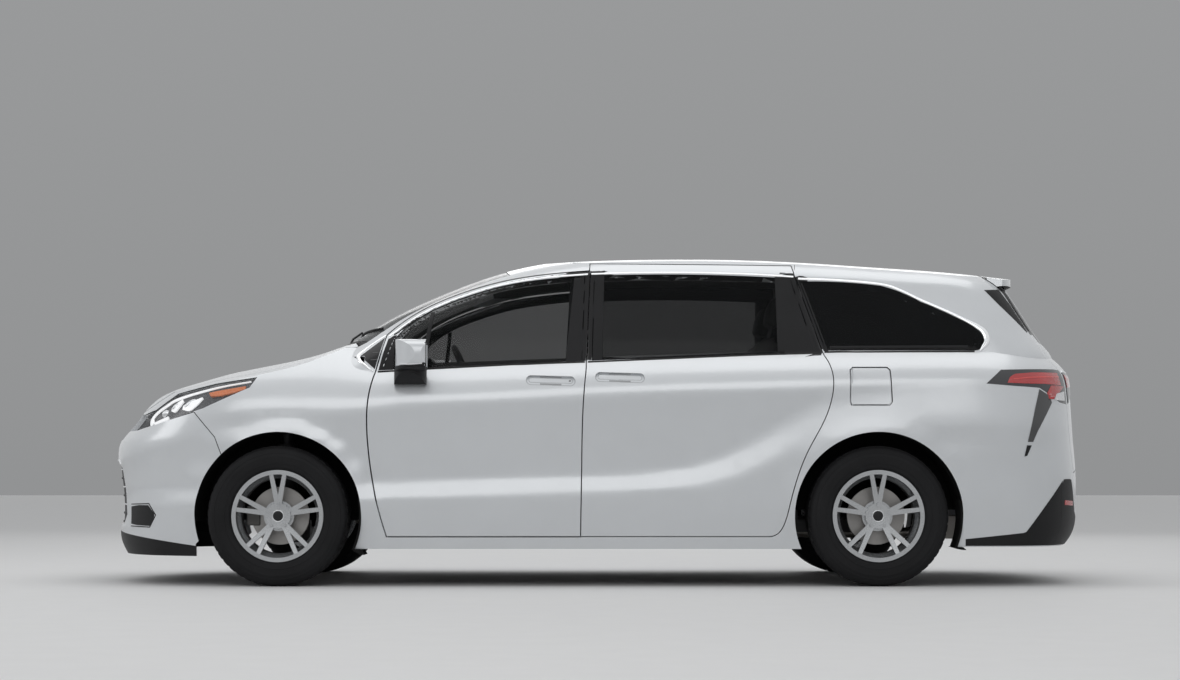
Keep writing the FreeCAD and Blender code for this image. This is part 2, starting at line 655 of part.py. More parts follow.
def side_doors(wall, pane, pocket, low_core):
    """Front door and sliding door with their glass, cut from the whole depth of the wall."""
    door_zone = across(front_door_face).fuse(across(sliding_door_face))
    room = box(-1300, 1300, -OUTSIDE, -DOOR_INNER, SILL_Z - 1, 1800)
    walls = wall.common(door_zone).common(room).cut(low_core.common(box(-1300, 1300, -OUTSIDE, 0, 0, FLOOR_TOP + 4)))
    seam_back = behind_seam(0.0, 0.16, 0.44)
    sliding_part = seam_back.translated(V(GAP + 1, 0, 0))
    front_door = walls.cut(seam_back)
    sliding = walls.common(sliding_part)
    front_door = front_door.cut(pocket.common(across(grown(FRONT_GLASS, 2)))).cut(across(FRONT_WINDOW))
    sliding = sliding.cut(pocket.common(across(grown(SLIDING_GLASS, 2)))).cut(across(SLIDING_WINDOW))
    for name, door, place in (("front_door", front_door, (-340, -112, 1031, 1058)),
                              ("sliding_door", sliding, (14, 242, 1047, 1074))):
        handle, dish = door_handle(*place)
        keep_sides(name, biggest(biggest(door).cut(dish).fuse(handle)))
    keep_sides("front_door_glass", biggest(pane.common(across(FRONT_GLASS)).cut(seam_back)))
    slide_glass = biggest(pane.common(across(SLIDING_GLASS)).common(sliding_part))
    quarter_glass = biggest(pane.common(across(QUARTER_GLASS)))
    keep("rear_side_glass", Part.makeCompound([slide_glass, quarter_glass, mirrored(slide_glass),
                                               mirrored(quarter_glass)]))


def body():
    outer_low, outer_up = lower_volume(), upper_volume()
    outer = outer_low.fuse(outer_up)
    cabin_all = lower_volume(DOOR_DEPTH, 150, 60).fuse(upper_volume(PILLAR_DEPTH, SCREEN_DEPTH, 75, ROOF_DEPTH))
    cabin = cabin_all.common(box(FIREWALL_X, 2440, -OUTSIDE, 0, FLOOR_TOP, 1800)
                             .fuse(box(-1500, FIREWALL_X, -OUTSIDE, 0, 1130, 1800)))
    cabin_core = cabin_all.translated(V(0, SEAT_GAP, 0))
    wall = outer.cut(cabin_all)
    shell = outer.cut(cabin)
    inner_low = lower_volume(PANEL, PANEL + 6, PANEL)
    inner_core = inner_low.translated(V(0, SEAT_GAP, 0))
    thin_skin = outer.cut(inner_low)
    low_core = lower_volume(SILL_DEPTH)
    pane_sheet = upper_y, -1140, 2040, 1040, 1640
    pane = side_layer(*pane_sheet, 2, GLASS_THICK, 44, 14)
    pocket = side_layer(*pane_sheet, -60, 60 + 2 + GLASS_THICK + SEAT_GAP, 44, 14)
    screen_sheet = screen_x, 715, 1225, 1680
    screen_pane = end_layer(*screen_sheet, GLASS_SINK, 10)
    screen_pocket = end_layer(*screen_sheet, -60, 60 + GLASS_SINK + 10 + SEAT_GAP)
    gate_sheet = rear_screen_x, 655, 1185, 1596
    gate_pane = end_layer(*gate_sheet, -GLASS_SINK - 10, 10)
    gate_pocket = end_layer(*gate_sheet, -GLASS_SINK - 10 - SEAT_GAP, 75)

    arches = wheel_space(X_FRONT_AXLE, ARCH_INNER_FRONT).fuse(wheel_space(X_REAR_AXLE, ARCH_INNER_REAR))
    gate_zone = revolve_region(GATE_SIDE, GATE_X, GATE_Z, 0.0).common(box(GATE_X + 6, 2700, -OUTSIDE, 0, 0, 1800))
    gate_gap = revolve_region(GATE_SIDE, GATE_X, GATE_Z, GAP + 0.6)
    gate_gap = gate_gap.common(box(GATE_X - 6, 2700, -OUTSIDE, 0, 0, 1800))
    lamp_gap = across(grown(LAMP_FACE, LAMP_GAP), -OUTSIDE, -466)
    hood_gap = hood_region(GAP + 3.4)
    tail_lamp_zone = across(TAIL_LAMP_FACE)
    rear_bumper_zone = across(REAR_BUMPER_FACE)
    fender_zone = across(FENDER_FACE)
    screen_bed = along(grown(WINDSCREEN_FACE, 3), -1500, -300).common(screen_pocket)
    screen_hole = along(WINDSCREEN_HOLE, -1500, -300)
    side_doors(wall, pane, pocket, low_core)

    # the frame round the doors, with the sill, the middle post and the hinge leaves inboard of them
    openings = across(grown(front_door_face, GAP + 2)).fuse(across(grown(sliding_door_face, GAP)))
    side = wall.common(box(FIREWALL_X, 2700, -OUTSIDE, 0, UNDERSIDE, 1800)
                       .fuse(box(-1320, FIREWALL_X, -OUTSIDE, 0, 1178, 1800)))
    side = side.cut(openings).cut(fender_zone.cut(inner_core)).cut(arches)
    sill_room = box(FIREWALL_X, X_REAR_AXLE - ARCH_RADIUS - LINER - SEAT_GAP, -OUTSIDE, -FLOOR_SIDE, UNDERSIDE, FLOOR_TOP - 2)
    ahead = box(-1300, -70, -OUTSIDE, 0, 0, 1800)
    sill = low_core.translated(V(0, GAP + 1, 0)).common(sill_room)
    sill = sill.fuse(low_core.translated(V(0, SEAT_GAP, 0)).common(sill_room).cut(ahead)).cut(arches)
    rail = wall.common(box(-480, GATE_X - 6, -ROOF_SIDE - 11, -ROOF_SIDE - 2, 1500, 1800))
    post = along(PILLAR_FACE, -116, -24)
    leaves = []
    for z in HINGE_LEAVES:
        leaf = cabin_all.translated(V(0, 2 * SEAT_GAP, 0)).common(box(-1176, -1050, -OUTSIDE, -796, z, z + 56))
        leaf = leaf.cut(box(-1170, -1106, -OUTSIDE, -822, z, z + 56))
        leaves.append(leaf.fuse(cabin_all.common(box(-1188, -1170, -OUTSIDE, -796, z, z + 56))))
    side = side.multiFuse([sill, rail, post] + leaves)
    side = side.cut(box(-700, GATE_X + 1, -ROOF_SIDE - 2, 0, 1500, 1800))
    side = side.cut(screen_bed).cut(screen_hole).cut(hood_gap)
    side = side.cut(box(-1500, FIREWALL_X, -COWL_SIDE, 0, 1000, 1300))
    side = side.cut(gate_gap).cut(rear_bumper_zone).cut(tail_lamp_zone.cut(inner_core))
    side = side.cut(pocket.common(across(grown(QUARTER_GLASS, 2)))).cut(across(grown(QUARTER_GLASS, -34)))
    side = side.cut(across(grown(FUEL_FACE, GAP + 2)).common(thin_skin))
    keep_sides("body_side", biggest(side))

    # roof, windscreen, cowl
    roof = shell.common(box(-800, GATE_X - 8, -ROOF_SIDE, 0, 1500, 1800)).cut(screen_bed).cut(screen_hole)
    keep("roof_panel", both(biggest(roof)))
    screen = screen_pane.common(along(WINDSCREEN_FACE, -1500, -300))
    keep("windshield", both(biggest(screen)))
    cowl_room = box(-1460, FIREWALL_X - 1, -COWL_SIDE + SEAT_GAP, 0, 1131, 1300)
    cowl = outer.cut(cabin).common(cowl_room).cut(hood_gap).cut(screen_bed)
    keep("cowl", both(biggest(cowl)))

    front_end(thin_skin, hood_gap, arches, lamp_gap, fender_zone, openings)
    rear_end(shell, thin_skin, outer_up, (gate_zone, gate_gap, gate_pane, gate_pocket), rear_bumper_zone, arches)
    mirrors(outer)
    cabin_parts(cabin_core, cabin, inner_core, arches)


def front_end(thin_skin, hood_gap, arches, lamp_gap, fender_zone, openings):
    """Bonnet, wings, bumper with its lip, headlamps and grilles."""
    lid = thin_skin.common(hood_region(0.0)).common(box(-2700, -1100, -OUTSIDE, 0, 780, 1500))
    keep("hood", both(biggest(lid)))
    front = thin_skin.common(box(-2700, -1060, -OUTSIDE, 0, LIP_UNDERSIDE, 1500)).cut(hood_gap).cut(arches)
    lamp = thin_skin.common(across(LAMP_FACE, -OUTSIDE, -470)).cut(hood_gap)
    keep("headlamps", pair(biggest(lamp)))
    fender = front.common(fender_zone).cut(lamp_gap).cut(across(grown(BUMPER_FACE, SHUT_LINE))).cut(openings)
    fender = fender.cut(box(-2700, -1000, -OUTSIDE, 0, 0, UNDERSIDE))
    fender = fender.cut(box(-1500, -1000, -COWL_SIDE - SEAT_GAP, 0, 1131, 1500))
    keep("front_fenders", pair(biggest(fender)))
    bumper = front.common(across(BUMPER_FACE)).cut(lamp_gap)
    holes = along(UPPER_GRILLE, -2700, -2300).fuse(along(LOWER_GRILLE, -2700, -2300))
    lip_zone = across(LIP_FACE)
    keep("front_bumper", both(biggest(bumper.cut(holes).cut(across(grown(LIP_FACE, SEAT_GAP))))))
    keep("front_lip", both(biggest(bumper.common(lip_zone))))
    sunk = end_layer(front_x, 600, 280, 910, 14, 20)
    lower = both(biggest(sunk.common(along(grown(LOWER_GRILLE, -SEAT_GAP), -2700, -2300))))
    upper = biggest(sunk.common(along(grown(UPPER_GRILLE, -SEAT_GAP), -2700, -2300)).cut(hood_region(14)))
    tow_hole = Part.makeCylinder(TOW_RADIUS + 9, 400, V(-2700, TOW_Y, TOW_Z), V(1, 0, 0))
    keep("grille", Part.makeCompound([lower.cut(tow_hole), both(upper)]))


def rear_end(shell, thin_skin, outer_up, gate_shapes, rear_bumper_zone, arches):
    """Tailgate with its glass and spoiler, rear bumper, tail lamps and fuel flap."""
    gate_zone, gate_gap, gate_pane, gate_pocket = gate_shapes
    gate = shell.common(gate_zone).cut(gate_pocket.common(along(grown(GATE_GLASS_FACE, 2), 1900, 2700)))
    gate = gate.cut(along(GATE_HOLE, 1900, 2700))
    keep("liftgate", both(biggest(gate)))
    keep("liftgate_glass", both(biggest(gate_pane.common(along(GATE_GLASS_FACE, 1900, 2700)))))
    rear_bumper = thin_skin.common(rear_bumper_zone).common(box(1700, 2700, -OUTSIDE, 0, UNDERSIDE + 10, 900))
    keep("rear_bumper", both(biggest(rear_bumper.cut(gate_gap).cut(arches))))
    keep("tail_lamps", pair(biggest(thin_skin.common(across(grown(TAIL_LAMP_FACE, -SEAT_GAP))).cut(gate_gap))))
    flap = biggest(side_layer(skin_y, 1250, 1560, 880, 1150, 0, 8).common(across(FUEL_FACE)))
    pin = Part.makeCylinder(4, FUEL_PIN_TOP - FUEL_PIN_FOOT, V(FUEL_PIN_X, -FUEL_PIN_Y, FUEL_PIN_FOOT))
    keep("fuel_door", flap.fuse(pin))
    wing = across(outline(*polygon([(2075, 1556), (2238, 1572), (2256, 1588), (2262, 1612), (2240, 1700),
                                    (2075, 1700)])))
    plan = upwards(outline([(2262, 0), (2255, -200), (2232, -400), (2196, -520), (2150, -590), (2100, -612)],
                           [(2100, -612), (2075, -612)], [(2075, -612), (2075, 0)], [(2075, 0), (2262, 0)]), 1500, 1750)
    wing = wing.common(plan).common(gate_zone).cut(above_roof()).cut(outer_up.translated(V(2, 0, 2))).cut(gate_pane)
    keep("spoiler", both(biggest(wing)))


def mirrors(outer):
    """Door mirrors: a flat backed housing on a foot that stands on the door skin."""
    plan = upwards(outline([(-856, -948), (-856, -1112)], [(-856, -1112), (-880, -1124), (-930, -1118), (-985, -1080),
                           (-1014, -1020), (-1010, -965), (-980, -940)], [(-980, -940), (-856, -948)]), 1050, 1300)
    front = along(outline([(-940, 1150), (-960, 1232), (-1010, 1252), (-1070, 1250), (-1112, 1226), (-1124, 1180),
                           (-1110, 1126), (-1060, 1098), (-990, 1098), (-940, 1112)], [(-940, 1112), (-940, 1150)]),
                  -1100, -800)
    foot = upwards(outline([(-1022, -900), (-1016, -1000), (-980, -1050), (-920, -1050), (-880, -1010), (-868, -900)],
                           [(-868, -900), (-1022, -900)]), 1028, 1104)
    sole = along(outline(*polygon([(-900, 1110), (-1060, 1110), (-1060, 1088), (-960, 1020), (-900, 1000)])), -1100, -800)
    glass_bed = box(-861, -800, -1108, -956, 1114, 1236)
    case = plan.common(front).cut(glass_bed)
    keep_sides("mirror", biggest(case.fuse(foot.common(sole)).cut(outer.translated(V(0, -SEAT_GAP, 0)))))


def turned(loop):
    """A section of (radius, y) points turned about the Y axis."""
    return flat_face(loop, lambda p: V(p[0], p[1], 0)).revolve(V(0, 0, 0), V(0, 1, 0), 360)


def wheel_parts():
    """One left wheel at the origin, its axis along Y and its face towards -Y."""
    lip, bead, well = RIM_RADIUS, RIM_RADIUS - 16, RIM_RADIUS - 32
    rim = turned(outline(*polygon([(lip, -98), (lip, -91), (bead, -91), (bead - 1, -62), (well, -42), (well, 42),
                                   (bead - 1, 62), (bead, 91), (lip, 91), (lip, 98), (bead - 6, 98),
                                   (bead - 10, 60), (well - 10, 44), (well - 10, -40), (bead - 10, -60),
                                   (bead - 6, -98)])))
    dish = turned(outline([(0, -70), (62, -74)], [(62, -74), (140, -84), (lip - 22, -95)], [(lip - 22, -95), (lip - 22, -70)],
                          [(lip - 22, -70), (140, -56), (66, -40)], [(66, -40), (0, -40)], [(0, -40), (0, -70)]))
    blades = []
    for i in range(SPOKES):
        for side in (-1, 1):
            blade = upwards(outline(*polygon([(-14, 40), (14, 40), (side * 34 + 11, lip - 21),
                                              (side * 34 - 11, lip - 21)])), 0, 130)
            blade = blade.rotate(V(0, 0, 0), V(1, 0, 0), 90)
            blades.append(blade.rotated(V(0, 0, 0), V(0, 1, 0), 360 / SPOKES * i))
    hub = Part.makeCylinder(64, 200, V(0, -100, 0), V(0, 1, 0))
    face = dish.common(hub.multiFuse(blades))
    hat = Part.makeCylinder(78, 82, V(0, -40, 0), V(0, 1, 0))
    disc = Part.makeCylinder(DISC_RADIUS, DISC_THICK, V(0, DISC_Y, 0), V(0, 1, 0))
    bore = Part.makeCylinder(SPINDLE + 0.5, 60, V(0, -2, 0), V(0, 1, 0))
    nuts = []
    for i in range(5):
        angle = 2 * math.pi * i / 5 + 0.3
        nuts.append(Part.makeCylinder(9, 14, V(57 * math.cos(angle), -84, 57 * math.sin(angle)), V(0, 1, 0)))
    wheel = rim.multiFuse([face, hat, disc] + nuts).cut(bore).removeSplitter()
    half = TYRE_WIDTH / 2
    seat, edge = bead + SEAT_GAP, lip + SEAT_GAP
    side = [(seat, -64), (seat, SEAT_GAP - 91), (edge, SEAT_GAP - 91), (edge + 4, -98 - SEAT_GAP),
            (edge + 26, -half + 4), (edge + 62, -half), (TYRE_RADIUS - 18, -half + 10), (TYRE_RADIUS - 2, -half + 34)]
    tread = [(TYRE_RADIUS, -50), (TYRE_RADIUS, 50)]
    inside = [(TYRE_RADIUS - 14, 70), (TYRE_RADIUS - 14, -70)]
    corners = side + tread + [(r, -y) for r, y in reversed(side)] + [(edge + 40, half - 12)] + inside
    tyre = turned(outline(*polygon(corners + [(edge + 40, 12 - half)])))
    return wheel, tyre


def knuckle_parts():
    """One left front knuckle with its caliper, about the wheel centre at the origin; +Y is inwards."""
    plate = slab(-36, 36, 62, 90, -82, 110, 10)
    spindle = Part.makeCylinder(SPINDLE, 80, V(0, 4, 0), V(0, 1, 0))
    boss = Part.makeCylinder(26, 44, V(0, KINGPIN, -104), V(0, 0, 1))
    ball = Part.makeCylinder(PIN_RADIUS + SEAT_GAP, 60, V(0, KINGPIN, -130), V(0, 0, 1))
    room = Part.makeCylinder(DISC_RADIUS + GAP, DISC_THICK + 11, V(0, DISC_Y - 5.5, 0), V(0, 1, 0))
    grip = slab(-172, -102, 8, 56, -50, 50, 6).cut(room)
    bracket = slab(-150, -20, 50, 84, -30, 30)
    arm = slab(20, 130, 66, 88, -74, -50)
    return plate.multiFuse([spindle, boss, grip, bracket, arm]).cut(ball).removeSplitter()


def front_carriage():
    """Lower arms with their ball pins, coil struts and the cross member under the engine."""
    x = X_FRONT_AXLE
    pin_y = WHEEL_Y - KINGPIN
    arm_top = Z_AXLE - 104 - GAP - 0.5
    tower = Z_AXLE + math.sqrt(ARCH_RADIUS**2 - STRUT_RADIUS**2) - SEAT_GAP
    strut = Part.makeCylinder(STRUT_RADIUS, tower - 240, V(x, -STRUT_Y, 240))
    spring = Part.makeCylinder(54, 230, V(x, -STRUT_Y, 500))
    tip = PIN_RADIUS + 16
    reach = outline([(x - 120, -300), (x - 60, -560), (x - tip, -pin_y)], [(x - tip, -pin_y), (x, -pin_y - tip),
                    (x + tip, -pin_y)], [(x + tip, -pin_y), (x + 60, -560), (x + 120, -300)],
                    [(x + 120, -300), (x - 120, -300)])
    arm = upwards(reach, arm_top - 26, arm_top)
    pin = Part.makeCylinder(PIN_RADIUS, 48, V(x, -pin_y, arm_top - 10))
    beam = slab(x - 110, x + 110, -400, 0, 212, 290)
    ear = slab(x - 110, x + 110, -RAIL_OUT, -RAIL_IN, 212, RAIL_FOOT - SEAT_GAP)
    return both(strut.multiFuse([spring, arm, pin, beam, ear, slab(x - 110, x + 110, -RAIL_IN, -390, 212, 290)]))


def rear_carriage():
    """Torsion beam, trailing arms hung from the floor, coil springs and the stub axles."""
    x = X_REAR_AXLE
    floor = FLOOR_TOP - FLOOR_THICK - SEAT_GAP
    beam = Part.makeCylinder(38, 700, V(x - 40, -700, 312), V(0, 1, 0))
    plate = slab(x - 60, x + 50, -730, -690, 262, 400)
    stub = Part.makeCylinder(SPINDLE, 168, V(x, -858, Z_AXLE), V(0, 1, 0))
    trail = slab(x - 420, x + 10, -600, -550, 268, 330)
    hanger = slab(x - 430, x - 380, -600, -550, 300, floor)
    seat_plate = slab(x - 60, x + 175, -620, -520, 290, 310)
    spring = Part.makeCylinder(48, floor - 300, V(x + 115, -570, 300))
    return both(beam.multiFuse([plate, stub, trail, hanger, seat_plate, spring]))


def running_gear():
    wheel, tyre = wheel_parts()
    for end, x in (("front", X_FRONT_AXLE), ("rear", X_REAR_AXLE)):
        for name, shape in (("wheel", wheel), ("tyre", tyre)):
            placed = shape.translated(V(x, -WHEEL_Y, Z_AXLE))
            keep("%s_%s_left" % (name, end), placed)
            keep("%s_%s_right" % (name, end), mirrored(placed))
    keep_sides("knuckle", knuckle_parts().translated(V(X_FRONT_AXLE, -WHEEL_Y, Z_AXLE)))
    keep("front_suspension", front_carriage())
    keep("rear_suspension", rear_carriage())
    floor = FLOOR_TOP - FLOOR_THICK - SEAT_GAP
    flange = Part.makeCylinder(44, 16, V(ENGINE_REAR + SEAT_GAP, 150, 376), V(1, 0, 0))
    pipe = tube([V(ENGINE_REAR + 8, 150, 376), V(-1370, 150, 376), V(-1240, 150, 262), V(1000, 150, 250),
                 V(1300, 210, 242), V(1650, 210, 242), V(1950, 250, 262)], 26)
    muffler = rounded(slab(1900, 2290, 60, 470, 215, 340), 45, lambda e: abs(e.Curve.Direction.y) > 0.9)
    hangers = [slab(at, at + 24, 240, 264, 330, floor) for at in (1940, 2230)] + [slab(300, 330, 140, 160, 260, floor)]
    tail = tube([V(2270, 420, 275), V(2300, 420, 262), V(2400, 420, 215)], 26)
    keep("exhaust", pipe.multiFuse([flange, muffler, tail] + hangers).removeSplitter())
    tank = box(180, 960, -560, 80, 212, floor)
    keep("fuel_tank", rounded(tank, 40, lambda e: e.CenterOfMass.z < floor - 1))
    block = slab(-2190, ENGINE_REAR, -380, 330, 330, 900).fuse(slab(-2100, -1500, -300, 250, 880, 985))
    block = rounded(block.removeSplitter(), 24, upright)
    mounts = [slab(-1830, -1750, y0, y1, 400, 480) for y0, y1 in ((SEAT_GAP - RAIL_IN, -370), (320, RAIL_IN - SEAT_GAP))]
    keep("engine", block.multiFuse(mounts))
    keep("radiator", slab(-2390, -2345, SEAT_GAP - RAIL_IN, RAIL_IN - SEAT_GAP, 330, 780))
    inner = WHEEL_Y - 72
    reach = ARCH_RADIUS - SEAT_GAP
    flaps = []
    for x, foot, low in ((X_FRONT_AXLE, 160, UNDERSIDE), (X_REAR_AXLE, 185, UNDERSIDE + 10)):
        ring = wheel_space(x, inner, reach).cut(wheel_space(x, inner, reach - FLAP_THICK))
        ring = ring.common(box(x + 300, x + 440, -972, -inner, low - 1, 440))
        skirt = across(outline(*polygon([(x + 376, low - 1), (x + 428, low - 1), (x + 444, foot), (x + 424, foot)])),
                       -968, -inner)
        flaps.append(ring.fuse(skirt).removeSplitter())
    keep("mud_flaps", Part.makeCompound(flaps + [mirrored(f) for f in flaps]))


def seat(x, y, z, width, heads):
    """Cushion, back and headrests, the cushion's front edge at x and its top at z; side profiles pushed across."""
    def pushed(runs, half, at=0.0):
        return across(outline(*runs), y + at - half, y + at + half)

    half = width / 2
    cushion = [[(x + 20, z - 110), (x, z - 60), (x + 10, z - 8), (x + 70, z + 6), (x + 300, z - 18), (x + 520, z - 34)],
               [(x + 520, z - 34), (x + 520, z - 150)], [(x + 520, z - 150), (x + 20, z - 110)]]
    base = [[(x + 60, FLOOR_TOP + SEAT_GAP), (x + 450, FLOOR_TOP + SEAT_GAP)],
            [(x + 450, FLOOR_TOP + SEAT_GAP), (x + 440, z - 120)], [(x + 440, z - 120), (x + 70, z - 100)],
            [(x + 70, z - 100), (x + 60, FLOOR_TOP + SEAT_GAP)]]
    back = [[(x + 400, z - 90), (x + 428, z + 60), (x + 452, z + 260), (x + 520, z + 470), (x + 560, z + 520)],
            [(x + 560, z + 520), (x + 640, z + 505)], [(x + 640, z + 505), (x + 600, z + 300), (x + 555, z - 60)],
            [(x + 555, z - 60), (x + 400, z - 90)]]
    head = [[(x + 565, z + 545), (x + 590, z + 700), (x + 630, z + 730)], [(x + 630, z + 730), (x + 690, z + 715)],
            [(x + 690, z + 715), (x + 670, z + 550)], [(x + 670, z + 550), (x + 565, z + 545)]]
    stalk = [[(x + 590, z + 490), (x + 612, z + 490)], [(x + 612, z + 490), (x + 636, z + 570)],
             [(x + 636, z + 570), (x + 614, z + 570)], [(x + 614, z + 570), (x + 590, z + 490)]]
    solids = [pushed(base, half - 50), pushed(back, half - 10)]
    for i in range(heads):
        at = -half + width * (i + 0.5) / heads
        solids += [pushed(head, 128, at), pushed(stalk, 70, at)]
    return pushed(cushion, half).multiFuse(solids)


def cabin_parts(cabin_core, cabin, inner_core, arches):
    """Floor with bulkhead, wheel houses, rails and radiator support; dashboard, steering wheel and seats."""
    foot = FLOOR_TOP - FLOOR_THICK
    slab_floor = cabin_core.common(box(FIREWALL_X - 40, 2438, -OUTSIDE, 0, foot, FLOOR_TOP))
    slab_floor = slab_floor.cut(box(FIREWALL_X, X_REAR_AXLE - ARCH_RADIUS - LINER, -OUTSIDE, -FLOOR_SIDE + SEAT_GAP, 0, FLOOR_TOP + 1))
    bulkhead = cabin_core.common(box(FIREWALL_X - 40, FIREWALL_X - 1, -OUTSIDE, 0, 330, 1131 - SEAT_GAP))
    rear_wall = box(2396, 2438, -620, 0, 300, 515)
    striker = box(2400, 2446, -55, 0, 500, 620).cut(
        Part.makeCylinder(GATE_REACH + SEAT_GAP, 200, V(GATE_X, -100, GATE_Z), V(0, 1, 0)))
    rail = box(-2400, FIREWALL_X, -RAIL_OUT, -RAIL_IN, RAIL_FOOT, RAIL_FOOT + 120)
    beam = box(-2440, -2398, -RAIL_OUT - 20, 0, 420, 520).common(inner_core)
    upright_bar = box(-2345, -2305, -RAIL_OUT, -RAIL_IN, RAIL_FOOT, 900)
    tie = box(-2340, -2310, -RAIL_OUT, 0, 862, 900)
    stop = Part.makeCylinder(12, 200, V(-2325, -RAIL_IN - 35, 880)).common(inner_core.translated(V(0, 0, -2 * SEAT_GAP)))
    liners = []
    for x, inner, low in ((X_FRONT_AXLE, ARCH_INNER_FRONT, 330), (X_REAR_AXLE, ARCH_INNER_REAR, foot)):
        house = wheel_space(x, inner - LINER, ARCH_RADIUS + LINER)
        liners.append(house.common(box(x - 600, x + 600, -OUTSIDE, 0, low, 900)))
    front_liner = liners[0].common(inner_core).common(box(-2200, FIREWALL_X - 2, -OUTSIDE, 0, 0, 1500))
    rear_liner = liners[1].common(cabin_core)
    floor = slab_floor.multiFuse([bulkhead, rear_wall, striker, rail, beam, upright_bar, tie, stop, front_liner,
                                  rear_liner]).cut(arches)
    socket = Part.makeCylinder(TOW_RADIUS, 42, V(-2440, TOW_Y, TOW_Z), V(1, 0, 0))
    keep("floor_pan", both(biggest(floor)).cut(socket))

    dash = across(outline([(-1184, 700), (-1184, 1136)], [(-1184, 1136), (-1340, 1146)], [(-1340, 1146), (-1250, 1210)],
                          [(-1250, 1210), (-1050, 1190), (-900, 1136), (-838, 1050), (-850, 960)],
                          [(-850, 960), (-940, 860), (-980, 700)], [(-980, 700), (-1184, 700)]))
    dash = biggest(dash.common(cabin.translated(V(SEAT_GAP, 2 * GAP, -SEAT_GAP))).common(box(-1500, -800, -790, 0, 0, 1500)))
    hood = slab(-1010, -862, -500, -240, 1090, 1190, 30)
    wheel_axis = V(math.sin(COLUMN_TILT), 0, math.cos(COLUMN_TILT))
    hub_back = STEERING_CENTRE - wheel_axis * (24 + SEAT_GAP)
    column = Part.makeCylinder(34, 240, hub_back - wheel_axis * 240, wheel_axis)
    console = slab(-1000, -380, -130, 130, FLOOR_TOP + SEAT_GAP, 760, 30)
    keep("dashboard", both(dash).multiFuse([column, console, hood]).removeSplitter())
    wheel = Part.makeTorus(178, 15).fuse(Part.makeCylinder(58, 34, V(0, 0, -24)))
    for angle in (0, 180, 270):
        spoke = slab(40, 176, -17, 17, -14, 6).rotated(V(0, 0, 0), V(0, 0, 1), angle)
        wheel = wheel.fuse(spoke)
    wheel = wheel.rotated(V(0, 0, 0), V(0, 0, 1), 90).rotated(V(0, 0, 0), V(0, 1, 0), math.degrees(COLUMN_TILT))
    keep("steering_wheel", wheel.translated(STEERING_CENTRE))
    keep("front_seats", Part.makeCompound([seat(-640, y, 800, 520, 1) for y in (-390, 390)]))
    keep("middle_seats", Part.makeCompound([seat(330, y, 800, 520, 1) for y in (-400, 400)]))
    keep("rear_bench", seat(1240, 0, 800, 1150, 2))


def main():
    body()
    running_gear()
    os.makedirs("parts", exist_ok=True)
    for name, shape in NODES.items():
        shape.exportStep("parts/" + name + ".step")


if __name__ == "__main__":
    main()
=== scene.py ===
import math

import bmesh
import bpy
from mathutils import Matrix, Vector
from mathutils.bvhtree import BVHTree


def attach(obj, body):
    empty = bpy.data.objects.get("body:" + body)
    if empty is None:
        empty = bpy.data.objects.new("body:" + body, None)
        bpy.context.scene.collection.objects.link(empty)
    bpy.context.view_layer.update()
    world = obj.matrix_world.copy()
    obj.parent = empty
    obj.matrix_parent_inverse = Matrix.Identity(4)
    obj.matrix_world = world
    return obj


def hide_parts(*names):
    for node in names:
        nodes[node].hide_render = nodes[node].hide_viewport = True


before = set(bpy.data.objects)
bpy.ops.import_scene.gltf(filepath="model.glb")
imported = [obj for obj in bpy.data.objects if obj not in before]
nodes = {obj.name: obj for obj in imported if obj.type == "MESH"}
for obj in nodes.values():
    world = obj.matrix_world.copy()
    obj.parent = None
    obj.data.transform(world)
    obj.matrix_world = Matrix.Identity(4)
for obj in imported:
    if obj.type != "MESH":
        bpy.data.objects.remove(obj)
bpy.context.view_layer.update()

SIDES = (("left", -1), ("right", 1))
AXLES = {"front": -1.616, "rear": 1.444}
WHEELS = {"%s_%s" % (end, side_name): (x, side) for end, x in AXLES.items() for side_name, side in SIDES}
WHEEL_Y = 0.862
AXLE_Z = 0.357
BODY = "body"


# Materials
def material(name, colour, rough=0.5, metal=0.0, coat=0.0, alpha=1.0, specular=0.5):
    made = bpy.data.materials.new(name)
    made.use_nodes = True
    shader = made.node_tree.nodes["Principled BSDF"]
    shader.inputs["Base Color"].default_value = (*colour, 1)
    shader.inputs["Roughness"].default_value = rough
    shader.inputs["Metallic"].default_value = metal
    shader.inputs["Coat Weight"].default_value = coat
    shader.inputs["Coat Roughness"].default_value = 0.03
    shader.inputs["Alpha"].default_value = alpha
    shader.inputs["Specular IOR Level"].default_value = specular
    return made


def parts_of(made):
    tree = made.node_tree
    return tree, tree.nodes["Principled BSDF"]


def pattern(made, kind, scale):
    """A noise, voronoi or wave pattern in the object's own metres."""
    tree, _ = parts_of(made)
    where = tree.nodes.new("ShaderNodeTexCoord")
    node = tree.nodes.new({"noise": "ShaderNodeTexNoise", "voronoi": "ShaderNodeTexVoronoi",
                           "wave": "ShaderNodeTexWave"}[kind])
    node.inputs["Scale"].default_value = scale
    if "Detail" in node.inputs:
        node.inputs["Detail"].default_value = 4.0
    tree.links.new(where.outputs["Object"], node.inputs["Vector"])
    return node.outputs["Distance" if kind == "voronoi" else "Fac"]


def tint(made, source, low, high):
    """Colours the surface between two shades by a pattern."""
    tree, shader = parts_of(made)
    ramp = tree.nodes.new("ShaderNodeValToRGB")
    ramp.color_ramp.elements[0].position = 0.3
    ramp.color_ramp.elements[1].position = 0.7
    ramp.color_ramp.elements[0].color = (*low, 1)
    ramp.color_ramp.elements[1].color = (*high, 1)
    tree.links.new(source, ramp.inputs["Fac"])
    tree.links.new(ramp.outputs["Color"], shader.inputs["Base Color"])
    return made


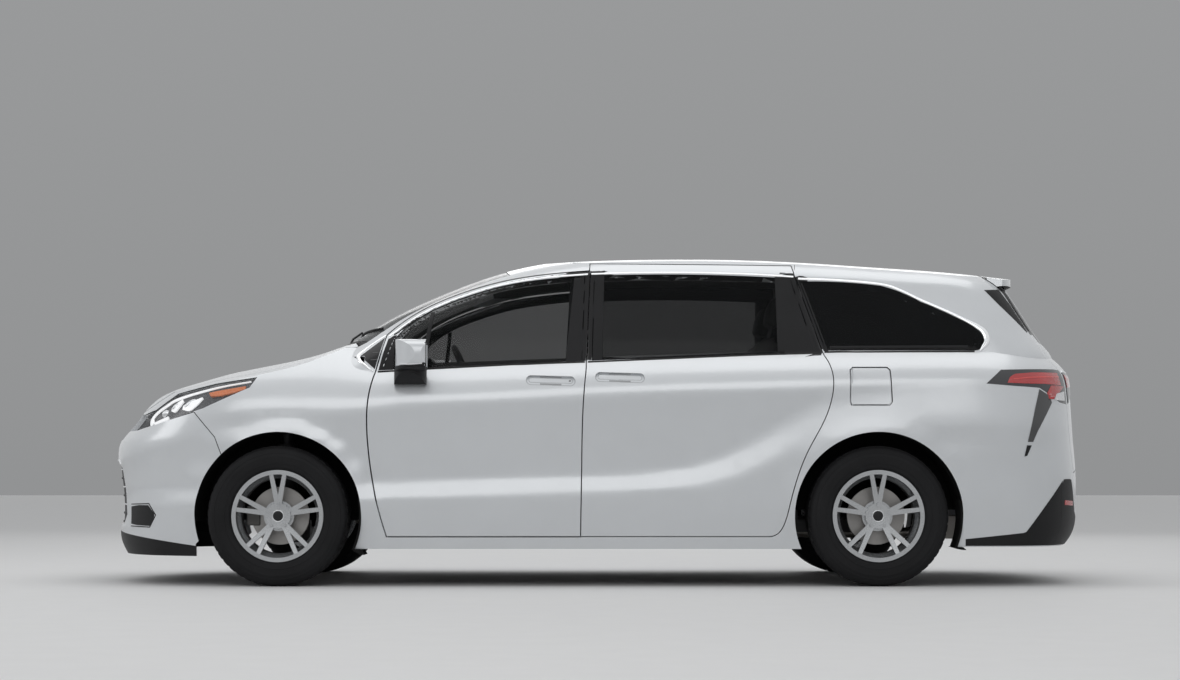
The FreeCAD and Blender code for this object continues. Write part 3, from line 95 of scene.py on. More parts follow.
def uneven(made, source, low, high):
    """Varies the roughness by a pattern."""
    tree, shader = parts_of(made)
    span = tree.nodes.new("ShaderNodeMapRange")
    span.inputs["To Min"].default_value = low
    span.inputs["To Max"].default_value = high
    tree.links.new(source, span.inputs["Value"])
    tree.links.new(span.outputs["Result"], shader.inputs["Roughness"])
    return made


def grain(made, source, depth, strength=1.0):
    """Raises the surface by a pattern; depth in metres."""
    tree, shader = parts_of(made)
    bump = tree.nodes.new("ShaderNodeBump")
    bump.inputs["Distance"].default_value = depth
    bump.inputs["Strength"].default_value = strength
    tree.links.new(source, bump.inputs["Height"])
    tree.links.new(bump.outputs["Normal"], shader.inputs["Normal"])
    return made


def shade(colour, by):
    return tuple(min(1.0, c * by) for c in colour)


def worked(name, colour, spread, rough, rough_spread, fine, kind="noise", depth=0.0, coarse=6.0, **rest):
    """A finish with broad colour variation, fine uneven gloss and a raised grain."""
    made = material(name, colour, rough, **rest)
    tint(made, pattern(made, "noise", coarse), shade(colour, 1 - spread), shade(colour, 1 + spread))
    uneven(made, pattern(made, "noise", fine * 0.4), max(rough - rough_spread, 0.01), rough + rough_spread)
    if depth:
        grain(made, pattern(made, kind, fine), depth)
    return made


PAINT_COLOUR = (0.66, 0.68, 0.70)
paint = worked("silver_white_paint", PAINT_COLOUR, 0.012, 0.30, 0.03, 1800, depth=0.00002, metal=0.30,
               coat=1.0)
parts_of(paint)[1].inputs["Coat Roughness"].default_value = 0.13
gloss_black = worked("gloss_black", (0.016, 0.016, 0.017), 0.1, 0.22, 0.03, 900, depth=0.00001, coat=0.15,
                     specular=0.2)
satin_black = worked("moulded_black", (0.014, 0.014, 0.015), 0.12, 0.50, 0.08, 1400, "voronoi", 0.00012,
                     specular=0.2)
liner_black = worked("arch_liner", (0.008, 0.008, 0.008), 0.2, 0.85, 0.08, 500, depth=0.0003, specular=0.15)
chrome = worked("bright_trim", (0.86, 0.87, 0.88), 0.02, 0.12, 0.03, 700, metal=1.0)
alloy = worked("cast_alloy", (0.46, 0.47, 0.48), 0.05, 0.27, 0.05, 1500, depth=0.00003, metal=0.85, coat=0.35)
disc_iron = worked("turned_iron", (0.30, 0.29, 0.28), 0.15, 0.42, 0.1, 260, "wave", 0.00004, metal=0.9)
caliper_iron = worked("cast_iron", (0.13, 0.125, 0.12), 0.15, 0.6, 0.1, 700, depth=0.0002, metal=0.6)
rubber = worked("tyre_rubber", (0.013, 0.013, 0.014), 0.15, 0.70, 0.08, 900, depth=0.0001, specular=0.18)
seal_rubber = worked("seal_rubber", (0.012, 0.012, 0.012), 0.15, 0.6, 0.06, 1200, depth=0.00004, specular=0.3)
steel = worked("pressed_steel", (0.22, 0.22, 0.22), 0.2, 0.45, 0.1, 300, depth=0.0001, metal=0.9)
pipe_steel = worked("exhaust_steel", (0.36, 0.34, 0.32), 0.18, 0.38, 0.1, 260, depth=0.00008, metal=0.95)
underseal = worked("underseal", (0.035, 0.036, 0.038), 0.2, 0.75, 0.08, 450, depth=0.0004, specular=0.25)
chassis_black = worked("chassis_black", (0.03, 0.03, 0.032), 0.2, 0.5, 0.08, 400, depth=0.0001, specular=0.4)
engine_cast = worked("engine_casting", (0.20, 0.20, 0.20), 0.2, 0.5, 0.1, 600, depth=0.0003, metal=0.7)
dash_soft = worked("soft_dash", (0.045, 0.046, 0.05), 0.1, 0.62, 0.06, 1500, "voronoi", 0.00018,
                   specular=0.35)
cabin_trim = worked("cabin_trim", (0.15, 0.145, 0.14), 0.06, 0.65, 0.05, 1500, "voronoi", 0.00015,
                    specular=0.3)
headlining = worked("headlining", (0.13, 0.127, 0.12), 0.04, 0.9, 0.04, 1200, depth=0.0002, specular=0.15)
leather = worked("seat_leather", (0.10, 0.095, 0.092), 0.08, 0.46, 0.06, 620, "voronoi", 0.00022,
                 specular=0.4)
wheel_leather = worked("wheel_leather", (0.03, 0.03, 0.032), 0.1, 0.42, 0.06, 900, "voronoi", 0.00016,
                       specular=0.4)
screen_black = worked("display_black", (0.006, 0.006, 0.008), 0.2, 0.06, 0.01, 800, coat=0.5)
mirror_silver = worked("mirror_silver", (0.80, 0.82, 0.84), 0.01, 0.02, 0.01, 500, metal=1.0)
amber = worked("amber_lens", (0.85, 0.20, 0.02), 0.08, 0.22, 0.04, 260, "wave", 0.0002, coat=0.7)
red_lens = worked("red_lens", (0.52, 0.012, 0.014), 0.1, 0.14, 0.03, 420, "wave", 0.00015, coat=1.0)
red_glow = worked("red_light_bar", (0.75, 0.05, 0.045), 0.08, 0.2, 0.03, 500, "wave", 0.0002, coat=1.0)
white_lens = worked("white_lens", (0.85, 0.86, 0.88), 0.03, 0.12, 0.03, 500, "wave", 0.0002, coat=1.0)
lamp_dark = worked("lamp_bezel", (0.035, 0.036, 0.04), 0.15, 0.25, 0.05, 700, depth=0.00006, coat=0.5)
blade_grey = worked("lamp_blade", (0.055, 0.056, 0.058), 0.1, 0.3, 0.05, 700, depth=0.00003, coat=0.5)
# painted shade: a grey darker than the paint, for the shade in and round the door handles' recesses
painted_shade_grey = worked("handle_painted_shade", (0.36, 0.37, 0.38), 0.03, 0.35, 0.03, 900, depth=0.00002, coat=0.5)
lit_lens = worked("lit_lens", (0.90, 0.91, 0.93), 0.02, 0.12, 0.03, 500, "wave", 0.0001, coat=1.0)
parts_of(lit_lens)[1].inputs["Emission Color"].default_value = (1.0, 1.0, 1.0, 1)
parts_of(lit_lens)[1].inputs["Emission Strength"].default_value = 0.45
reflector = worked("lamp_reflector", (0.78, 0.79, 0.80), 0.05, 0.1, 0.03, 300, "wave", 0.0001, metal=1.0)


def glass(name, colour, alpha, specular=0.3):
    made = material(name, colour, 0.03, alpha=alpha, specular=specular)
    tint(made, pattern(made, "noise", 3), shade(colour, 0.9), shade(colour, 1.1))
    uneven(made, pattern(made, "noise", 40), 0.015, 0.04)
    return made


clear_glass = glass("windscreen_glass", (0.02, 0.024, 0.024), 0.55, 0.2)
door_glass = glass("tinted_glass", (0.004, 0.005, 0.005), 0.36, 0.10)
middle_glass = glass("shaded_glass", (0.004, 0.0045, 0.005), 0.50, 0.10)
dark_glass = glass("privacy_glass", (0.003, 0.0035, 0.004), 0.82, 0.12)
lamp_lens = glass("lamp_lens", (0.55, 0.57, 0.60), 0.12, 0.5)


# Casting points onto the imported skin
class Skin:
    """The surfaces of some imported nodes, to lay trim on."""

    def __init__(self, *names):
        points, faces = [], []
        for name in names:
            start = len(points)
            data = nodes[name].data
            points += [v.co.copy() for v in data.vertices]
            faces += [[start + i for i in p.vertices] for p in data.polygons]
        self.tree = BVHTree.FromPolygons(points, faces)

    def cast(self, origin, way):
        spot, normal, _, _ = self.tree.ray_cast(Vector(origin), Vector(way))
        if spot is None:
            return None
        if normal.dot(Vector(way)) > 0:
            normal = -normal
        return spot, normal


def from_side(side):
    return lambda u, v: ((u, side * 1.3, v), (0, -side, 0))


def from_end(end):
    """Points are (y, z), cast along X from the nose, -1, or the tail, 1."""
    return lambda u, v: ((end * 3.2, u, v), (-end, 0, 0))


def smooth_line(points, step=0.012):
    """Points about one step apart on a rounded line through the given 2-D points."""
    pts = [Vector(p).to_2d() for p in points]
    pts = [pts[0] * 2 - pts[1]] + pts + [pts[-1] * 2 - pts[-2]]
    line = []
    for i in range(1, len(pts) - 2):
        a, b, c, d = pts[i - 1:i + 3]
        count = max(2, round((c - b).length / step))
        for k in range(count):
            t = k / count
            line.append(0.5 * (2 * b + (c - a) * t + (2 * a - 5 * b + 4 * c - d) * t * t
                               + (3 * b - a - 3 * c + d) * t ** 3))
    return line + [pts[-2]]


def straight_line(points, step=0.012):
    """Points about one step apart on straight runs through the given 2-D points."""
    line = []
    for a, b in zip(points, points[1:]):
        a, b = Vector(a), Vector(b)
        count = max(1, round((b - a).length / step))
        line += [a.lerp(b, k / count) for k in range(count)]
    return line + [Vector(points[-1])]


def laid(line, skin, ray):
    """The line cast onto the skin: (point, normal) pairs, with the normals evened along it."""
    hits = [skin.cast(*ray(p[0], p[1])) for p in line]
    hits = [h for h in hits if h is not None]
    spots = [h[0] for h in hits]
    normals = []
    for i in range(len(hits)):
        near = hits[max(0, i - 2):i + 3]
        normals.append(sum((h[1] for h in near), Vector()).normalized())
    return list(zip(spots, normals))


# Building pieces
def add_mesh(name, points, faces, look, body, smooth=True):
    data = bpy.data.meshes.new(name)
    data.from_pydata([tuple(p) for p in points], [], faces)
    shape = bmesh.new()
    shape.from_mesh(data)
    bmesh.ops.remove_doubles(shape, verts=shape.verts, dist=1e-6)
    bmesh.ops.recalc_face_normals(shape, faces=shape.faces)
    shape.to_mesh(data)
    shape.free()
    for polygon in data.polygons:
        polygon.use_smooth = smooth
    data.materials.append(look)
    piece = bpy.data.objects.new(name, data)
    bpy.context.scene.collection.objects.link(piece)
    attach(piece, body)
    return piece


def sharp(piece, angle=35):
    """Keeps edges steeper than the angle crisp."""
    limit = math.radians(angle)
    shape = bmesh.new()
    shape.from_mesh(piece.data)
    for edge in shape.edges:
        if len(edge.link_faces) == 2 and edge.calc_face_angle(0) > limit:
            edge.smooth = False
    shape.to_mesh(piece.data)
    shape.free()
    return piece


def sweep(name, spots, section, look, body, scale=None):
    """Carries a closed section of (across, out) points along laid points; scale(t) gives its width."""
    points, faces = [], []
    count = len(section)
    last = len(spots) - 1
    for i, (spot, normal) in enumerate(spots):
        along = (spots[min(i + 1, last)][0] - spots[max(i - 1, 0)][0]).normalized()
        across = normal.cross(along).normalized()
        out = along.cross(across).normalized()
        wide = scale(i / last) if scale else 1.0
        points += [spot + across * (a * wide) + out * o for a, o in section]
    for i in range(last):
        for k in range(count):
            a, b = i * count + k, i * count + (k + 1) % count
            faces.append([a, b, b + count, a + count])
    faces.append(list(range(count))[::-1])
    faces.append([last * count + k for k in range(count)])
    return sharp(add_mesh(name, points, faces, look, body), 50)


def bead(width, height, sink=0.0015, steps=6):
    """A half round section, sunk a little into what it lies on."""
    turns = [math.pi * k / steps for k in range(steps + 1)]
    top = [(width / 2 * math.cos(turn), height * math.sin(turn)) for turn in turns]
    return [(width / 2, -sink)] + top + [(-width / 2, -sink)]


def resampled(points, count, rounded):
    line = smooth_line(points, 0.004) if rounded else straight_line(points, 0.004)
    lengths = [0.0]
    for a, b in zip(line, line[1:]):
        lengths.append(lengths[-1] + (b - a).length)
    made, k = [], 0
    for i in range(count):
        want = lengths[-1] * i / (count - 1)
        while k < len(lengths) - 2 and lengths[k + 1] < want:
            k += 1
        span = max(lengths[k + 1] - lengths[k], 1e-9)
        made.append(line[k].lerp(line[k + 1], (want - lengths[k]) / span))
    return made


def patch(name, upper, lower, skin, ray, look, body, lift=0.0012, sink=0.002, columns=40, rows=6,
          rounded=False):
    """A plate that follows the skin between two outlines, from sink below the skin to lift above it."""
    tops, feet = resampled(upper, columns, rounded), resampled(lower, columns, rounded)
    grid = []
    for j in range(rows + 1):
        line = [a.lerp(b, j / rows) for a, b in zip(tops, feet)]
        hits = [skin.cast(*ray(p[0], p[1])) for p in line]
        for i, hit in enumerate(hits):
            if hit is None:
                close = [h for h in hits[max(0, i - 6):i + 7] if h]
                if not close and grid:
                    close = [grid[-columns + i]]
                origin, way = ray(line[i][0], line[i][1])
                axis = max(range(3), key=lambda k: abs(way[k]))
                spot = Vector(origin)
                spot[axis] = close[0][0][axis]
                hits[i] = (spot, close[0][1])
        grid += hits
    outer = [p + n * lift for p, n in grid]
    inner = [p - n * sink for p, n in grid]
    shift = len(grid)
    faces = []
    for j in range(rows):
        for i in range(columns - 1):
            a = j * columns + i
            quad = [a, a + 1, a + columns + 1, a + columns]
            faces += [quad, [q + shift for q in quad[::-1]]]
    rim = [i for i in range(columns)] + [j * columns + columns - 1 for j in range(1, rows + 1)]
    rim += [rows * columns + i for i in range(columns - 2, -1, -1)]
    rim += [j * columns for j in range(rows - 1, 0, -1)]
    for a, b in zip(rim, rim[1:] + rim[:1]):
        faces.append([a, a + shift, b + shift, b])
    return sharp(add_mesh(name, outer + inner, faces, look, body))


def lathe(name, loop, centre, look, body, segments=96, closed=True, ripple=None):
    """Turns (radius, y) points about the Y axis through the centre."""
    points, faces = [], []
    count = len(loop)
    for i in range(segments):
        turn = 2 * math.pi * i / segments
        for k, (radius, y) in enumerate(loop):
            r = ripple(i, k, radius, y) if ripple else radius
            points.append((centre[0] + r * math.cos(turn), centre[1] + y, centre[2] + r * math.sin(turn)))
    for i in range(segments):
        for k in range(count if closed else count - 1):
            a, b = i * count + k, i * count + (k + 1) % count
            c, d = ((i + 1) % segments) * count + (k + 1) % count, ((i + 1) % segments) * count + k
            faces.append([a, b, c, d])
    return add_mesh(name, points, faces, look, body)


def settled(name, shape, centre, look, body, turn):
    """Turns a bmesh, moves it to its centre and makes it a smooth piece that rides on a body."""
    if turn:
        bmesh.ops.rotate(shape, verts=shape.verts, cent=Vector(), matrix=Matrix.Rotation(turn[1], 3, turn[0]))
    bmesh.ops.translate(shape, vec=Vector(centre), verts=shape.verts)
    data = bpy.data.meshes.new(name)
    shape.to_mesh(data)
    shape.free()
    for polygon in data.polygons:
        polygon.use_smooth = True
    data.materials.append(look)
    piece = bpy.data.objects.new(name, data)
    bpy.context.scene.collection.objects.link(piece)
    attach(piece, body)
    return piece


def block(name, centre, size, look, body, bevel=0.004, turn=None):
    """A bevelled block, for small fittings."""
    shape = bmesh.new()
    bmesh.ops.create_cube(shape, size=1.0)
    bmesh.ops.scale(shape, vec=Vector(size), verts=shape.verts)
    bmesh.ops.bevel(shape, geom=shape.edges, offset=min(bevel, min(size) * 0.45), segments=3, affect="EDGES")
    return sharp(settled(name, shape, centre, look, body, turn))


def orb(name, centre, radii, look, body, turn=None):
    """A lens dome: a fine ball drawn out to three radii."""
    shape = bmesh.new()
    bmesh.ops.create_uvsphere(shape, u_segments=32, v_segments=20, radius=1.0)
    bmesh.ops.scale(shape, vec=Vector(radii), verts=shape.verts)
    return settled(name, shape, centre, look, body, turn)


def rod(name, points, radius, look, body):
    """A round bar through 3-D points."""
    spots = []
    for i, point in enumerate(points):
        along = Vector(points[min(i + 1, len(points) - 1)]) - Vector(points[max(i - 1, 0)])
        side = along.cross(Vector((0, 1, 0)))
        spots.append((Vector(point), side.normalized() if side.length > 1e-6 else Vector((0, 0, 1))))
    circle = [(radius * math.cos(a), radius * math.sin(a)) for a in (2 * math.pi * k / 12 for k in range(12))]
    return sweep(name, spots, circle, look, body)


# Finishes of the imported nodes
def dress(name, look):
    data = nodes[name].data
    data.materials.clear()
    data.materials.append(look)
    for polygon in data.polygons:
        polygon.material_index = 0


def zones(name, looks, choose):
    """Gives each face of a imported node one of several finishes, by its middle and its normal."""
    data = nodes[name].data
    data.materials.clear()
    for look in looks:
        data.materials.append(look)
    for polygon in data.polygons:
        polygon.material_index = choose(polygon.center, polygon.normal)


PLAIN = {
    "hood": paint, "fuel_door": paint, "tail_lamps": lamp_dark, "windshield": clear_glass,
    "liftgate_glass": dark_glass, "cowl": satin_black, "headlamps": lamp_lens, "grille": satin_black,
    "front_lip": satin_black, "mud_flaps": liner_black, "dashboard": dash_soft,
    "steering_wheel": wheel_leather,
    "front_suspension": chassis_black, "rear_suspension": chassis_black, "exhaust": pipe_steel,
    "fuel_tank": satin_black, "radiator": steel, "engine": engine_cast,
}
for node_name, look in PLAIN.items():
    dress(node_name, look)
for side_name, side in SIDES:
    dress("front_door_glass_" + side_name, door_glass)
    dress("knuckle_" + side_name, caliper_iron)


def near_axle(centre, reach=0.436):
    return any(math.hypot(centre.x - x, centre.z - AXLE_Z) < reach for x in AXLES.values())


def in_arch(centre, normal):
    return near_axle(centre) and abs(normal.y) < 0.6


def glazed(skin, centre, out, depth=0.016):
    """Whether a face lies just behind a pane; out is the way the pane faces."""
    hit = skin.tree.find_nearest(centre)[0]
    return hit is not None and (hit - centre).length < depth and (hit - centre).dot(Vector(out)) > 0.0002


for side_name, side in SIDES:
    door_pane = Skin("front_door_glass_" + side_name)
    rear_pane = Skin("rear_side_glass")

    def door_zone(centre, normal, pane=door_pane, side=side):
        inward = normal.y * side < -0.35
        post = -0.150 < centre.x < 0.060 or centre.x > 1.105 - 0.3 * (centre.z - 1.2)
        near = post and centre.z > 1.16 and (pane.tree.find_nearest(centre)[0] - centre).length < 0.030
        behind = near or glazed(pane, centre, (0, side, 0))
        if behind or (centre.z > 1.1 and inward):
            return 1
        if inward or (abs(centre.y) < 0.80 and centre.z < 1.1):
            return 2
        return 0

    zones("front_door_" + side_name, [paint, gloss_black, cabin_trim], door_zone)
    zones("sliding_door_" + side_name, [paint, gloss_black, cabin_trim],
          lambda c, n, pane=rear_pane, side=side: door_zone(c, n, pane, side))

    def side_zone(centre, normal, pane=rear_pane, side=side):
        if near_axle(centre, 0.432) and abs(centre.y) < 0.985 and abs(normal.y) < 0.6:
            return 3
        post = 1.0 < centre.x < 1.225 - 0.3 * (centre.z - 1.2) and centre.z > 1.21
        near = post and (pane.tree.find_nearest(centre)[0] - centre).length < 0.030
        if near or glazed(pane, centre, (0, side, 0)):
            return 1
        inner = abs(centre.y) < 0.80 and centre.z < 1.0 and centre.x < 2.2
        if normal.y * side < -0.3 or normal.x < -0.5 or inner:
            return 2
        return 3 if normal.z < -0.7 and centre.z < 0.4 else 0

    zones("body_side_" + side_name, [paint, gloss_black, cabin_trim, liner_black], side_zone)
    zones("mirror_" + side_name, [paint, satin_black],
          lambda c, n: 1 if c.z < 1.125 + 0.1 * (c.x + 0.94) or n.x > 0.7 else 0)

zones("roof_panel", [paint, headlining], lambda c, n: 1 if n.z < -0.3 else 0)
zones("front_fenders", [paint, liner_black], lambda c, n: 1 if in_arch(c, n) or n.z < -0.9 else 0)
zones("front_bumper", [paint, liner_black], lambda c, n: 1 if in_arch(c, n) or n.x > 0.5 else 0)
zones("rear_bumper", [paint, liner_black], lambda c, n: 1 if in_arch(c, n) or n.x < -0.5 else 0)
gate_pane = Skin("liftgate_glass")
zones("liftgate", [paint, gloss_black, cabin_trim],
      lambda c, n: 1 if glazed(gate_pane, c, (1, 0, 0), 0.02) or (abs(n.y) > 0.35 and c.z > 1.30)
      else (2 if n.x < -0.3 else 0))
zones("spoiler", [paint, satin_black], lambda c, n: 1 if n.z < -0.5 else 0)
zones("rear_side_glass", [middle_glass, dark_glass], lambda c, n: 1 if c.x > 1.14 - 0.3 * (c.z - 1.2) else 0)
zones("floor_pan", [underseal, cabin_trim, liner_black],
      lambda c, n: 2 if near_axle(c, 0.445) and abs(c.y) > 0.5
      else (1 if n.z > 0.5 and c.x > -1.2 and c.z > 0.42 else 0))


def wheel_zone(x, side):
    def choose(centre, normal):
        radius = math.hypot(centre.x - x, centre.z - AXLE_Z)
        depth = (abs(centre.y) - WHEEL_Y) * 1000
        if radius < 0.150 and depth < 2:
            return 1
        if 0.15 < radius < 0.20 and depth < -2:
            return 2
        return 0
    return choose


for corner, (x, side) in WHEELS.items():
    zones("wheel_" + corner, [alloy, disc_iron, caliper_iron], wheel_zone(x, side))


# Wheels and tyres
CAP_FACE = 0.0745
NUT_CIRCLE = 0.0572
NUTS = 5


def tyre_loop():
    """Half of the tyre's section, from bead to mid tread, then mirrored and closed inside."""
    half = 0.1175
    side = [(0.2190, 0.066), (0.2190, 0.0900), (0.2350, 0.0907), (0.2392, 0.0990), (0.2440, 0.1045),
            (0.2465, 0.1080), (0.2480, 0.1086), (0.2500, 0.1092), (0.2660, 0.1145), (0.2672, 0.1160),
            (0.2690, 0.1162), (0.2702, 0.1150), (0.2860, half - 0.0008), (0.3000, half - 0.0004),
            (0.3020, half), (0.3045, half), (0.3060, half - 0.0008), (0.3190, 0.1150), (0.3205, 0.1158),
            (0.3222, 0.1155), (0.3235, 0.1138), (0.3340, 0.1100), (0.3440, 0.1040), (0.3500, 0.0960),
            (0.3540, 0.0840)]
    tread = []
    for a, b in ((0.0835, 0.0625), (0.0545, 0.0245), (0.0165, -0.0165)):
        tread += [(0.3568, a), (0.357, a - 0.002), (0.357, b + 0.001), (0.3565, b)]
        if b > 0:
            tread += [(0.3495, b - 0.001), (0.3495, b - 0.007)]
    right = side + tread[:-2] + [(0.357, 0.0)]
    left = [(r, -y) for r, y in right[::-1]][1:]
    inside = [(0.343, -0.078), (0.343, 0.0), (0.343, 0.078)]
    return right + left + inside


TREAD_STEPS = 288


def tread_ripple(i, k, radius, y):
    """Lateral slots in the shoulders and fine steps in the ribs."""
    wide = abs(y)
    if radius < 0.348 or wide > 0.108:
        return radius
    shift = int(wide * 90) if y > 0 else -int(wide * 90)
    if wide > 0.058 and radius > 0.3495 and (i + shift) % 6 == 0:
        return radius - 0.0055 * min(1.0, (radius - 0.348) / 0.006)
    if 0.020 < wide < 0.058 and radius > 0.3555 and (i + shift) % 8 == 0:
        return radius - 0.003
    return radius


for corner, (x, side) in WHEELS.items():
    centre = (x, side * WHEEL_Y, AXLE_Z)
    wheel_body = "wheel_" + corner
    tyre = lathe("tread_" + corner, tyre_loop(), centre, rubber, wheel_body, TREAD_STEPS,
                 ripple=tread_ripple)
    sharp(tyre, 30)
    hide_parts("tyre_" + corner)
    out = side * CAP_FACE
    cap = [(0.0, out), (0.020, out), (0.0245, out - side * 0.001), (0.0262, out - side * 0.004),
           (0.0262, out - side * 0.012), (0.0, out - side * 0.012)]
    lathe("cap_" + corner, cap[::-1], centre, gloss_black, wheel_body, 48, closed=False)
    ring = [(0.0268, out - side * 0.010), (0.0268, out + side * 0.0008), (0.0290, out + side * 0.0012),
            (0.0305, out - side * 0.001), (0.0305, out - side * 0.010)]
    lathe("cap_ring_" + corner, ring, centre, chrome, wheel_body, 48)
    for k in range(NUTS):
        turn = 2 * math.pi * (k + 0.5) / NUTS + math.pi / 2
        nut = [(0.0, out - side * 0.002), (0.0080, out - side * 0.002), (0.0100, out - side * 0.005),
               (0.0100, out - side * 0.016), (0.0, out - side * 0.016)]
        place = (x + NUT_CIRCLE * math.cos(turn), centre[1], AXLE_Z + NUT_CIRCLE * math.sin(turn))
        lathe("wheel_nut_%s_%d" % (corner, k), nut[::-1], place, chrome, wheel_body, 6, closed=False)

# Bright trim, seals and dark trim on the sides
TRIM_WIDTH = 0.012
TRIM = {
    "front_door": [(-1.072, 1.286), (-1.045, 1.305), (-0.898, 1.411), (-0.694, 1.500), (-0.489, 1.560),
                   (-0.259, 1.597), (-0.036, 1.616)],
    "sliding_door": [(-0.018, 1.617), (0.200, 1.623), (0.500, 1.624), (0.800, 1.616), (1.040, 1.602)],
}
QUARTER_TRIM = [(1.052, 1.592), (1.280, 1.582), (1.496, 1.561), (1.594, 1.529), (1.701, 1.475),
                (1.855, 1.404), (1.986, 1.334), (2.024, 1.294), (2.026, 1.250), (1.990, 1.206)]
BELT = {
    "front_door": [(-1.118, 1.096), (-0.700, 1.120), (-0.300, 1.1385), (-0.052, 1.147)],
    "sliding_door": [(-0.036, 1.1475), (0.400, 1.166), (0.800, 1.183), (1.150, 1.194)],
    "body_side": [(1.186, 1.199), (1.500, 1.201), (1.960, 1.202)],
}


def corner_swell(t):
    """Width of the quarter window's trim: broad at the rear corner, thin at its end."""
    return 1.0 + 1.3 * math.exp(-((t - 0.90) / 0.09) ** 2) - 0.8 * max(0.0, t - 0.97) / 0.03


def front_swell(t):
    """Width of the corner window's trim: broad at its middle, thin at its end."""
    return 1.0 + 0.8 * math.exp(-((t - 0.55) / 0.16) ** 2) - 0.7 * max(0.0, t - 0.85) / 0.15


for side_name, side in SIDES:
    ray = from_side(side)
    for panel, line in TRIM.items():
        skin = Skin("%s_%s" % (panel, side_name))
        body = BODY if panel == "sliding_door" else "%s_%s" % (panel, side_name)
        sweep("bright_%s_%s" % (panel, side_name), laid(smooth_line(line), skin, ray),
              bead(TRIM_WIDTH, 0.004), chrome, body)
        under = [(x + 0.003, z - 0.011) for x, z in line if -1.06 < x < -0.20 or 0.10 < x < 0.90]
        sweep("under_seal_%s_%s" % (panel, side_name), laid(smooth_line(under), skin, ray),
              bead(0.010, 0.0025), seal_rubber, body)
    for panel, line in BELT.items():
        skin = Skin("%s_%s" % (panel, side_name))
        body = "%s_%s" % (panel, side_name) if panel == "front_door" else BODY
        sweep("belt_seal_%s_%s" % (panel, side_name), laid(smooth_line(line), skin, ray), bead(0.013, 0.003),
              seal_rubber, body)
    panel_skin = Skin("body_side_" + side_name)
    sweep("bright_quarter_" + side_name, laid(smooth_line(QUARTER_TRIM), panel_skin, ray),
          bead(0.014, 0.004), chrome, BODY, scale=corner_swell)

# Pillar covers, corner windows and panel joints
for side_name, side in SIDES:
    ray = from_side(side)
    panel = Skin("body_side_" + side_name, "front_fenders", "cowl")
    front_body = "front_door_" + side_name
    door_face = Skin("front_door_" + side_name, "front_door_glass_" + side_name)
    rear_face = Skin("sliding_door_" + side_name, "rear_side_glass")
    side_face = Skin("body_side_" + side_name, "rear_side_glass")
    patch("post_cover_front_" + side_name, [(-0.1520, 1.148), (-0.1060, 1.602)],
          [(-0.0475, 1.153), (-0.0385, 1.400), (-0.0275, 1.612)], door_face, ray, satin_black, front_body,
          lift=0.0016, rows=24)
    patch("post_cover_middle_" + side_name,
          [(-0.0325, 1.157), (-0.0265, 1.350), (-0.0205, 1.500), (-0.0145, 1.614)],
          [(0.0380, 1.160), (0.0500, 1.614)], rear_face, ray, satin_black, BODY, lift=0.0016, rows=24)
    patch("post_cover_rear_" + side_name, [(0.9450, 1.190), (0.9420, 1.601)],
          [(1.1690, 1.192), (1.0350, 1.596)], rear_face, ray, satin_black, BODY, lift=0.0016, rows=40)
    patch("post_cover_quarter_" + side_name, [(1.1820, 1.205), (1.0540, 1.586)],
          [(1.2050, 1.205), (1.0830, 1.574)], side_face, ray, satin_black, BODY, lift=0.0016, rows=8)
    patch("sail_cover_" + side_name, [(-1.1150, 1.104), (-1.0945, 1.190), (-1.0715, 1.270)],
          [(-1.0400, 1.107), (-1.0360, 1.200), (-1.0300, 1.290)], door_face, ray, satin_black, front_body,
          lift=0.0026, rows=12)
    bar = laid(straight_line([(-0.8450, 1.412), (-0.8850, 1.122)]), door_face, ray)
    sweep("vent_bar_" + side_name, bar, bead(0.022, 0.003), satin_black, front_body)
    for level, first, last in ((1.196, -1.150, -1.096), (1.158, -1.158, -1.112)):
        slat = laid(straight_line([(first, level), (last, level + 0.003)]), panel, ray)
        sweep("slat_%d_%s" % (round(level * 1000), side_name), [(p + n * 0.0012, n) for p, n in slat],
              bead(0.005, 0.002), blade_grey, BODY)
    patch("corner_window_" + side_name, [(-1.212, 1.182), (-1.150, 1.232), (-1.092, 1.278)],
          [(-1.210, 1.176), (-1.170, 1.142), (-1.134, 1.110)], panel, ray, gloss_black, BODY, rows=8)
    corner = [(-1.090, 1.292), (-1.160, 1.243), (-1.222, 1.192), (-1.232, 1.176), (-1.222, 1.160),
              (-1.180, 1.126), (-1.142, 1.098)]
    sweep("bright_corner_" + side_name, laid(smooth_line(corner), panel, ray), bead(0.013, 0.004), chrome,
          BODY, scale=front_swell)
    for number, at in (("front", -0.026), ("rear", 1.052)):
        joint = [(at - 0.004, 1.640), (at + 0.002, 1.672), (at + 0.004, 1.700)]
        sweep("roof_joint_%s_%s" % (number, side_name),
              laid(smooth_line(joint), Skin("body_side_" + side_name), ray), bead(0.003, 0.0006, 0.001),
              seal_rubber, BODY)
    rail = laid(smooth_line([(1.215, 1.224), (1.600, 1.226), (1.930, 1.227)]), Skin("rear_side_glass"), ray)
    sweep("rail_cover_" + side_name, rail, bead(0.016, 0.0022, 0.0005), satin_black, BODY)

